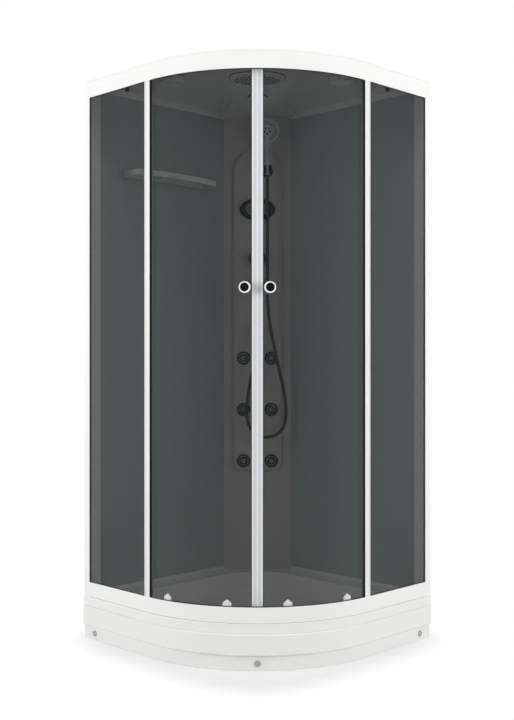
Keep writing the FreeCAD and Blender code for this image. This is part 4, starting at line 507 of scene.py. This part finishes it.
class CABIN_OT_beads(bpy.types.Operator):
    """Set the black beads round the panes, the inlays of the edge profiles and grey lines of painted shade in
    the joints under the sill and above the skirt
    """
    bl_idname = "cabin.beads"
    bl_label = "Beads and inlays"

    def execute(self, context):
        bead = sizes().bead
        rubber = made("black rubber")
        low, high = SILL_TOP, HEADER_BOTTOM
        front, back = 0.0012, 0.0036
        for name, foot, tip in (("header_bead", high, high - bead), ("sill_bead", low, low + bead)):
            bar_along_front(name, [(front, foot), (back, foot), (back, tip), (front, tip)], POST_FACE, rubber)
        face = BEND + FRAME_RADIUS
        wall_side, door_side = PROFILE_SIDES
        plans = [box_plan(POST_FACE, POST_FACE + bead, face - 0.004, face - front),
                 box_plan(wall_side - bead, wall_side, face - 0.004, face - front),
                 box_plan(door_side, door_side + bead * 0.8, face - 0.0110, face - 0.0016)]
        plans = plans + [twin_plan(p) for p in plans]
        upright_strips("pane_beads", plans, low, high, rubber, "cabin")
        by_door, by_wall = PROFILE_INLAYS
        inlays = [box_plan(*by_door, face - 0.0022, face - 0.0011),
                  box_plan(*by_wall, face - 0.0013, face - 0.0006)]
        inlays = inlays + [twin_plan(p) for p in inlays]
        upright_strips("profile_inlays", inlays, low, high, made("grey strip"), "cabin")
        # The thin grey strips along the sill's and the skirt's joints are painted shade in those joints.
        joint_shade = made("grey strip")
        rounded = [(-0.0014, 0.1628), (0.0006, 0.1628), (0.0006, 0.1646), (-0.0003, 0.1644)]
        bar_along_front("sill_shade_line", rounded, POST_FACE, joint_shade)
        flat = [(-0.0040, 0.1259), (-0.0010, 0.1259), (-0.0010, 0.1271), (-0.0040, 0.1271)]
        bar_along_front("skirt_shade_line", flat, 0.006, joint_shade)
        for side, sign in (("left", -1), ("right", 1)):
            turn = np.repeat([BEAD_START, BEAD_END], 2) * sign
            plan = around(np.array([DOOR_FACE, 0.5428, 0.5424, DOOR_FACE]), turn, 0)[:, :2]
            upright_strips(f"{side}_door_bead", [plan], STRIP_LOW, STRIP_HIGH, rubber, f"{side}_door")
        return {"FINISHED"}


class CABIN_OT_seals(bpy.types.Operator):
    """Rib the outer face of the doors' front seals: r = face + rib |sin(7 pi s)|^0.6 across their width"""
    bl_idname = "cabin.seals"
    bl_label = "Ribbed seals"

    def execute(self, context):
        ribs = 7
        share = np.linspace(0, 1, ribs * 10 + 1)
        height = SEAL_FACE + sizes().rib * np.abs(np.sin(pi * ribs * share)) ** 0.6
        height[[0, -1]] = SEAL_FACE - 0.0005
        for side, sign in (("left", -1), ("right", 1)):
            turn = sign * (RIBS_START + RIBS_WIDTH * share)
            plan = around(height, turn, 0)
            grid = np.stack([plan + UP * STRIP_LOW, plan + UP * STRIP_HIGH])
            rows, cols = grid.shape[:2]
            piece = put(f"{side}_door_seal_ribs", grid, quads_of(rows, cols, closed_cols=False),
                        made("ribbed seal with painted rib shade"), f"{side}_door")
            co = np.array([v.co for v in piece.data.vertices])
            angle = np.degrees(np.arctan2(co[:, 1] - AXIS[1], co[:, 0] - AXIS[0])) + 45
            across = np.clip((np.abs(angle) - RIBS_START) / RIBS_WIDTH, 0.001, 0.999)
            loops = np.array([loop.vertex_index for loop in piece.data.loops])
            layer = piece.data.uv_layers.new(name="across")
            layer.data.foreach_set("uv", np.stack([across[loops], co[loops, 2]], -1).ravel())
        return {"FINISHED"}


class CABIN_OT_knobs(bpy.types.Operator):
    """Set the dark dished faces and the collars of the door knobs"""
    bl_idname = "cabin.knobs"
    bl_label = "Knob faces"

    def execute(self, context):
        for side, sign in (("left", -1), ("right", 1)):
            axis = around(1, KNOB_TURN * sign, 0) - around(0, 0, 0)
            faces = []
            for radius, way in KNOB_FACES:
                centre = around(radius, KNOB_TURN * sign, KNOB_HEIGHT)
                profile = [(0, 0.0006), (0.008, 0.0007), (0.013, 0.0011), (0.0147, 0.0014), (0.0154, 0.0010),
                           (0.0155, -0.0008), (0, -0.0008)]
                faces.append(lathe(profile, centre, axis * way, 56))
            points, quads = copies_of(np.stack(faces))
            put(f"{side}_door_knob_faces", points, quads, made("deep black"), f"{side}_door")
            collars = []
            for radius, way in ((DOOR_FACE, 1), (DOOR_BACK, -1)):
                centre = around(radius, KNOB_TURN * sign, KNOB_HEIGHT)
                profile = [(0.0075, 0), (0.0125, 0), (0.0130, 0.0006), (0.0122, 0.0016), (0.0085, 0.0021),
                           (0.0075, 0.0021), (0.0075, 0)]
                collars.append(lathe(profile, centre, axis * way, 48))
            points, quads = copies_of(np.stack(collars))
            put(f"{side}_door_knob_collars", points, quads, made("black rubber"), f"{side}_door")
        return {"FINISHED"}


class CABIN_OT_jets(bpy.types.Operator):
    """Turn the rings of the six jet flanges and the tips of their nozzles"""
    bl_idname = "cabin.jets"
    bl_label = "Body jets"

    def execute(self, context):
        face = FIELD + 0.006
        profile = [(0.0145, -0.002), (0.0145, 0.0012), (0.0153, 0.0018), (0.0170, 0.0017), (0.0176, 0.0004),
                   (0.0188, 0.0004), (0.0194, 0.0014), (0.0218, 0.0013), (0.0224, 0.0001), (0.0236, 0.0001),
                   (0.0242, 0.0007), (0.0256, 0.0004), (0.0262, -0.0010), (0.0250, -0.002), (0.0145, -0.002)]
        rings = np.stack([lathe(profile, spot(u, face, z), FORWARD, 48) for u, z in JETS])
        put("jet_rings", *copies_of(rings), made("deep black"), "cabin")
        bright = [(0.0178, 0.0002), (0.0180, 0.0018), (0.0186, 0.0023), (0.0200, 0.0022), (0.0208, 0.0016),
                  (0.0210, 0.0002), (0.0178, 0.0002)]
        rings = np.stack([lathe(bright, spot(u, face, z), FORWARD, 48) for u, z in JETS])
        put("jet_bright_rings", *copies_of(rings), made("smoked chrome"), "cabin")
        tip = [(0.0018, -0.001), (0.0046, -0.001), (0.0044, 0.0012), (0.0038, 0.0021), (0.0024, 0.0021),
               (0.0018, 0.0015), (0.0018, -0.001)]
        groove = [(0.0072, -0.0005), (0.0072, 0.0005), (0.0080, 0.0008), (0.0094, 0.0005), (0.0094, -0.0005),
                  (0.0072, -0.0005)]
        for number, (u, z) in enumerate(JETS, 1):
            front = spot(u, FIELD + 0.009, z)
            one = lathe(tip, front, FORWARD, 32)
            two = lathe(groove, front, FORWARD, 32)
            points = np.vstack([one.reshape(-1, 3), two.reshape(-1, 3)])
            behind = quads_of(*two.shape[:2], start=one.shape[0] * one.shape[1])
            quads = np.vstack([quads_of(*one.shape[:2]), behind])
            put(f"jet_tip_{number}", points, quads, made("smoked chrome"), f"jet_nozzle_{number}")
        return {"FINISHED"}


class CABIN_OT_hand_shower(bpy.types.Operator):
    """Fit the hand shower's spray face, its rings of nozzles and the flutes of its handle"""
    bl_idname = "cabin.hand_shower"
    bl_label = "Hand shower"

    def execute(self, context):
        tilt = radians(HEAD_TILT)
        way = FORWARD * cos(tilt) - UP * sin(tilt)
        centre = spot(*HAND, HEAD_HEIGHT) + way * HEAD_FACE
        plate = [(0, 0.0006), (0.020, 0.0006), (0.0235, 0.0012), (0.026, 0.0006), (0.041, 0.0002),
                 (0.0435, 0.0010), (0.0445, 0.0002), (0.0445, -0.001), (0, -0.001)]
        put("spray_face", lathe(plate, centre, way, 72), quads_of(len(plate), 72), made("grey plastic"),
            "hand_shower")
        side, other = square_to(way)[1:]
        rows = []
        for radius, count in ((0.0390, 34), (0.0335, 30), (0.0280, 25)):
            t = np.linspace(0, 2 * pi, count, endpoint=False)
            rows.append(centre + radius * (np.cos(t)[:, None] * side + np.sin(t)[:, None] * other))
        dome = lathe([(0.0020, -0.0002), (0.0020, 0.0012), (0.0014, 0.0020), (0, 0.0022)], (0, 0, 0),
                     way, 10)
        put("spray_nozzles", *copies_of(np.vstack(rows)[:, None, None] + dome[None]), made("black rubber"),
            "hand_shower")
        t = np.linspace(0, 2 * pi, 5, endpoint=False) + pi / 2
        middles = centre + 0.0125 * (np.cos(t)[:, None] * side + np.sin(t)[:, None] * other)
        large = lathe([(0.0048, 0.0002), (0.0048, 0.0018), (0.0040, 0.0026), (0.0028, 0.0026),
                       (0.0022, 0.0014), (0, 0.0012)], (0, 0, 0), way, 20)
        put("massage_nozzles", *copies_of(middles[:, None, None] + large[None]), made("dark chrome"),
            "hand_shower")
        put("handle_flutes", *self.flutes(), made("grey strip"), "hand_shower")
        rim = [(0.0455, -0.004), (0.0500, -0.0045), (0.0524, -0.007), (0.0528, -0.012), (0.0520, -0.012),
               (0.0455, -0.004)]
        put("head_rim", lathe(rim, centre, way, 72), quads_of(len(rim), 72), made("chrome"), "hand_shower")
        return {"FINISHED"}

    @staticmethod
    def flutes():
        """Ribs along the handle: r = R(h) + 0.0009 w (1 - t^2), turned by 0.13 w t, w = sin(pi h)^0.5,
        where R(h) is the handle's own taper.
        """
        count, rows, cols = 14, 26, 7
        h = np.linspace(0, 1, rows)
        radius = 0.0150 - 0.0030 * (0.02 + 0.78 * h)
        swell = np.sin(pi * h) ** 0.5
        t = np.linspace(-1, 1, cols)
        middle = np.linspace(0, 2 * pi, count, endpoint=False)
        angle = middle[:, None, None] + (0.13 * swell[:, None] * t[None])[None]
        lift = (0.0009 * swell[:, None] * (1 - t[None] ** 2) - 0.0002)[None]
        r = radius[None, :, None] + lift
        z = (FLUTES_LOW + FLUTES_LONG * h)[None, :, None]
        centre = spot(*HAND, 0)
        x, y, z = np.broadcast_arrays(centre[0] + r * np.cos(angle), centre[1] + r * np.sin(angle), z)
        return copies_of(np.stack([x, y, z], -1), closed_cols=False)


class CABIN_OT_column_trim(bpy.types.Operator):
    """Fit the oval panel's bezel and window, the control rings and the hose elbow's nut"""
    bl_idname = "cabin.column_trim"
    bl_label = "Column trim"

    def execute(self, context):
        centre = spot(0, RAISED + 0.013, PANEL_HEIGHT)
        window = [(-0.046, 0.0004), (-0.030, 0.0005), (-0.012, 0.0003), (-0.002, 0.0001), (0, -0.0006),
                  (-0.001, -0.002), (-0.046, -0.002)]
        grid = oval_lathe([(r * 0.55, h) for r, h in window], centre, wide=0.0455, tall=0.0258)
        put("panel_window", grid, quads_of(*grid.shape[:2]), made("film window"), "cabin",
            (tuple(range(grid.shape[1])),))
        ring = [(0, 0), (0.0006, 0.0016), (0.0018, 0.0022), (0.0032, 0.0016), (0.0036, 0), (0, 0)]
        grid = oval_lathe(ring, centre + FORWARD * 0.0004, wide=0.0460, tall=0.0263)
        put("panel_bezel", grid, quads_of(*grid.shape[:2]), made("chrome"), "cabin")
        foot = [(0, 0), (0.0010, 0.0020), (0.0030, 0.0026), (0.0038, 0), (0, 0)]
        grid = oval_lathe(foot, spot(0, RAISED, PANEL_HEIGHT), wide=0.0735, tall=0.0445)
        put("panel_gasket", grid, quads_of(*grid.shape[:2]), made("black rubber"), "cabin")
        gap, sunk = 0.0003, 0.0002
        for name, body, height, reach, radius in (
                ("mixer_cap", "mixer_handle", MIXER_HEIGHT, 0.0381, 0.0235),
                ("diverter_ring", "diverter_knob", DIVERTER_HEIGHT, 0.0262, 0.0255)):
            at = spot(0, RAISED + gap + reach - sunk, height)
            profile = [(radius, 0), (radius, 0.0008), (radius + 0.0012, 0.0014), (radius + 0.0024, 0.0008),
                       (radius + 0.0024, 0), (radius, 0)]
            grid = lathe(profile, at, FORWARD, 56)
            put(name, grid, quads_of(*grid.shape[:2]), made("chrome"), body)
        nut = [(0.0072, 0), (0.0112, 0), (0.0122, 0.001), (0.0122, 0.011), (0.0112, 0.012), (0.0110, 0.012)]
        grid = lathe(nut, spot(0, HAND[1], ELBOW_TOP), UP, 6)
        put("elbow_nut", grid, quads_of(*grid.shape[:2]), made("chrome"), "cabin")
        return {"FINISHED"}


class CABIN_OT_roof_trim(bpy.types.Operator):
    """Fit the rain head's gasket and nozzles, the lamp's ring, the speaker's cone and the dish rings"""
    bl_idname = "cabin.roof_trim"
    bl_label = "Roof trim"

    def execute(self, context):
        pitch, radius = sizes().nozzle_pitch, sizes().nozzle
        u, v = np.meshgrid(np.arange(-7, 8) * pitch, np.arange(-3, 4) * pitch * 1.8)
        u = u + (np.arange(7) % 2)[:, None] * pitch / 2
        wide, deep = 0.086, 0.074
        inside = (u / wide) ** 2 + (v / deep) ** 2 < 1
        seats = spot(u[inside], RAIN_FORWARD + v[inside], SPINE - RAIN_DROP)
        dome = lathe([(radius * 1.2, 0.0004), (radius, -0.0028), (radius * 0.7, -0.0038), (0, -0.0040)],
                     (0, 0, 0), UP, 10)
        put("rain_nozzles", *copies_of(seats[:, None, None] + dome[None]), made("deep black"), "cabin")
        edge = [(-0.0005, 0), (0.0016, 0), (0.0020, -0.0012), (0.0012, -0.0022), (-0.0005, -0.0022),
                (-0.0005, 0)]
        grid = self.rounded_ring(edge, RAIN_FORWARD, SPINE)
        put("rain_head_gasket", grid, quads_of(*grid.shape[:2]), made("black rubber"), "cabin")
        ring = [(0.0355, 0.0002), (0.0395, 0.0002), (0.0405, -0.0020), (0.0385, -0.0050), (0.0365, -0.0060),
                (0.0355, -0.0050), (0.0355, 0.0002)]
        grid = lathe(ring, spot(0, LAMP_FORWARD, SPINE), UP, 64)
        put("lamp_ring", grid, quads_of(*grid.shape[:2]), made("dark chrome"), "cabin")
        cone = [(0.0355, 0.0), (0.034, 0.0010), (0.030, 0.0022), (0.012, 0.0070), (0.0105, 0.0060),
                (0.006, 0.0035), (0, 0.0030)]
        grid = lathe(cone, spot(-DISH_SIDE, DISH_FORWARD, SPINE), UP, 56)
        put("speaker_cone", grid, quads_of(*grid.shape[:2]), made("black rubber"), "cabin")
        rim = [(0.0440, 0.0), (0.0468, 0.0), (0.0476, -0.0010), (0.0466, -0.0022), (0.0440, -0.0022),
               (0.0440, 0.0)]
        rims = np.stack([lathe(rim, spot(sign * DISH_SIDE, DISH_FORWARD, ROOF_UNDER - 0.0002), UP, 64)
                         for sign in (-1, 1)])
        put("dish_rings", *copies_of(rims), made("grey strip"), "cabin")
        return {"FINISHED"}

    @staticmethod
    def rounded_ring(profile, forward, height, half_width=0.1025, half_depth=0.0910, corner=0.070):
        """Ring round a plate with round corners: arcs (corner + out) (cos t, sin t), at each height + up."""
        out, up = np.asarray(profile, float).T[:, :, None]
        quarter = np.linspace(0, pi / 2, 13)
        t = np.concatenate([quarter + k * pi / 2 for k in range(4)])[None]
        side_sign = np.repeat([1, -1, -1, 1], 13)[None]
        front_sign = np.repeat([1, 1, -1, -1], 13)[None]
        u = side_sign * (half_width - corner) + (corner + out) * np.cos(t)
        v = front_sign * (half_depth - corner) + (corner + out) * np.sin(t)
        return spot(u, forward + v, height + up)


class CABIN_OT_threads(bpy.types.Operator):
    """Cut the threads of the feet and of the two inlets"""
    bl_idname = "cabin.threads"
    bl_label = "Threads"

    def execute(self, context):
        feet = ((0.063, 0.063), (0.063, 0.875), (0.875, 0.063), (0.625, 0.625), (0.625, 0.850),
                (0.850, 0.625))             # from the left and the right wall
        rods = np.stack([helix(wall_spot(a, b, 0.009), UP, radius=0.006, depth=0.0007, pitch=0.00175,
                               length=0.0325) for a, b in feet])
        put("foot_threads", *copies_of(rods), made("zinc coat"), "cabin")
        ends = np.stack([helix(spot(sign * 0.0235, 0.122, MIXER_HEIGHT), SIDEWAYS * sign, radius=0.0101,
                               depth=0.0004, pitch=0.0018, length=0.0125, steps=28) for sign in (-1, 1)])
        put("inlet_threads", *copies_of(ends), made("brass"), "cabin")
        return {"FINISHED"}


class CABIN_OT_stage(bpy.types.Operator):
    """Set the floor, the lamps, the plain world and the camera"""
    bl_idname = "cabin.stage"
    bl_label = "Floor, light and camera"

    def execute(self, context):
        scene = context.scene
        scene.view_settings.view_transform = "Standard"
        bpy.ops.mesh.primitive_plane_add(size=16)
        floor = context.object
        floor.name = "floor"
        floor.data.materials.append(self.floor_finish())
        self.world(scene)
        self.lamp("key", (-1.0, -3.9, 1.8), (0, 0, 1.0), size=2.4, power=86)
        self.lamp("fill", (3.9, 1.0, 1.8), (0, 0, 1.0), size=2.4, power=86)
        self.lamp("top", (1.2, -1.2, 4.6), (0, 0, 0.8), size=2.2, power=40)
        camera = bpy.data.cameras.new("camera")
        camera.sensor_width = 36
        camera.lens = FOCAL / PICTURE_HEIGHT * camera.sensor_width
        camera.clip_end = 60
        eye = bpy.data.objects.new("camera", camera)
        eye.location = spot(0, EYE_FORWARD, EYE_HEIGHT)
        eye.rotation_euler = (pi / 2, 0, radians(45))
        scene.collection.objects.link(eye)
        scene.camera = eye
        camera.shift_x = (PICTURE_WIDTH / 2 - FACED[0]) / PICTURE_HEIGHT
        camera.shift_y = (FACED[1] - PICTURE_HEIGHT / 2) / PICTURE_HEIGHT
        return {"FINISHED"}

    @staticmethod
    def lamp(name, place, target, size, power):
        light = bpy.data.lights.new(name, "AREA")
        light.size = size
        light.energy = power
        lamp = bpy.data.objects.new(name, light)
        lamp.location = place
        lamp.visible_glossy = False
        way = np.array(target) - np.array(place)
        lamp.rotation_euler = (np.arctan2(np.hypot(way[0], way[1]), -way[2]), 0, np.arctan2(-way[0], way[1]))
        bpy.context.scene.collection.objects.link(lamp)

    @staticmethod
    def world(scene):
        """White where the camera or a reflection sees it, and a soft grey light on everything else."""
        world = bpy.data.worlds.new("plain")
        scene.world = world
        world.use_nodes = True
        nodes, links = world.node_tree.nodes, world.node_tree.links
        path = nodes.new("ShaderNodeLightPath")
        seen = nodes.new("ShaderNodeMath")
        seen.operation = "MAXIMUM"
        glossy = nodes.new("ShaderNodeMath")
        glossy.operation = "MAXIMUM"
        links.new(path.outputs["Is Glossy Ray"], glossy.inputs[0])
        links.new(path.outputs["Is Transmission Ray"], glossy.inputs[1])
        links.new(glossy.outputs[0], seen.inputs[0])
        links.new(path.outputs["Is Camera Ray"], seen.inputs[1])
        soft, white = nodes["Background"], nodes.new("ShaderNodeBackground")
        soft.inputs["Color"].default_value = (1, 1, 1, 1)
        soft.inputs["Strength"].default_value = 0.33
        white.inputs["Strength"].default_value = 1.0
        white.inputs["Color"].default_value = (1, 1, 1, 1)
        choose = nodes.new("ShaderNodeMixShader")
        links.new(seen.outputs[0], choose.inputs[0])
        links.new(soft.outputs[0], choose.inputs[1])
        links.new(white.outputs[0], choose.inputs[2])
        links.new(choose.outputs[0], nodes["World Output"].inputs["Surface"])

    @staticmethod
    def floor_finish():
        """Pale floor with the cabin's shadow, which fades to plain white outside a rounded square."""
        material = bpy.data.materials.new("pale floor")
        material.use_nodes = True
        nodes, links = material.node_tree.nodes, material.node_tree.links
        shader = nodes["Principled BSDF"]
        shader.inputs["Base Color"].default_value = (0.66, 0.66, 0.66, 1)
        shader.inputs["Roughness"].default_value = 0.9
        shader.inputs["Specular IOR Level"].default_value = 0.1
        place = nodes.new("ShaderNodeTexCoord")
        squares = nodes.new("ShaderNodeVectorMath")
        squares.operation = "MULTIPLY"
        links.new(place.outputs["Object"], squares.inputs[0])
        links.new(place.outputs["Object"], squares.inputs[1])
        reach = nodes.new("ShaderNodeVectorMath")
        reach.operation = "LENGTH"
        links.new(squares.outputs["Vector"], reach.inputs[0])
        fade = nodes.new("ShaderNodeMapRange")
        fade.interpolation_type = "SMOOTHSTEP"
        fade.inputs["From Min"].default_value = SHADOW_NEAR ** 2
        fade.inputs["From Max"].default_value = SHADOW_FAR ** 2
        fade.inputs["To Min"].default_value = SHADOW_WHITE
        links.new(reach.outputs["Value"], fade.inputs["Value"])
        path = nodes.new("ShaderNodeLightPath")
        seen = nodes.new("ShaderNodeMath")
        seen.operation = "MAXIMUM"
        links.new(path.outputs["Is Camera Ray"], seen.inputs[0])
        links.new(path.outputs["Is Glossy Ray"], seen.inputs[1])
        share = nodes.new("ShaderNodeMath")
        share.operation = "MULTIPLY"
        links.new(fade.outputs["Result"], share.inputs[0])
        links.new(seen.outputs[0], share.inputs[1])
        white = nodes.new("ShaderNodeEmission")
        choose = nodes.new("ShaderNodeMixShader")
        links.new(share.outputs[0], choose.inputs[0])
        links.new(shader.outputs[0], choose.inputs[1])
        links.new(white.outputs[0], choose.inputs[2])
        links.new(choose.outputs[0], nodes["Material Output"].inputs["Surface"])
        return material


class CABIN_PT_panel(bpy.types.Panel):
    """Lists the cabin's settings and the steps that dress it"""
    bl_idname = "CABIN_PT_panel"
    bl_label = "Shower cabin"
    bl_space_type = "VIEW_3D"
    bl_region_type = "UI"
    bl_category = "Shower cabin"

    def draw(self, context):
        for group in (context.scene.cabin_sizes, context.scene.cabin_colours):
            for name in group.__annotations__:
                self.layout.prop(group, name)
        for step in STEPS:
            self.layout.operator(step.bl_idname)


STEPS = (CABIN_OT_finishes, CABIN_OT_stage, CABIN_OT_hose, CABIN_OT_beads, CABIN_OT_seals, CABIN_OT_knobs,
         CABIN_OT_jets, CABIN_OT_hand_shower, CABIN_OT_column_trim, CABIN_OT_roof_trim, CABIN_OT_threads)
CLASSES = (CabinSizes, CabinColours, *STEPS, CABIN_PT_panel)


def register():
    for kind in CLASSES:
        bpy.utils.register_class(kind)
    bpy.types.Scene.cabin_sizes = bpy.props.PointerProperty(type=CabinSizes)
    bpy.types.Scene.cabin_colours = bpy.props.PointerProperty(type=CabinColours)


def unregister():
    del bpy.types.Scene.cabin_colours
    del bpy.types.Scene.cabin_sizes
    for kind in reversed(CLASSES):
        bpy.utils.unregister_class(kind)


def main():
    """Registers the add-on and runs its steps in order."""
    register()
    for step in STEPS:
        group, name = step.bl_idname.split(".")
        getattr(getattr(bpy.ops, group), name)()


if __name__ == "__main__":
    main()
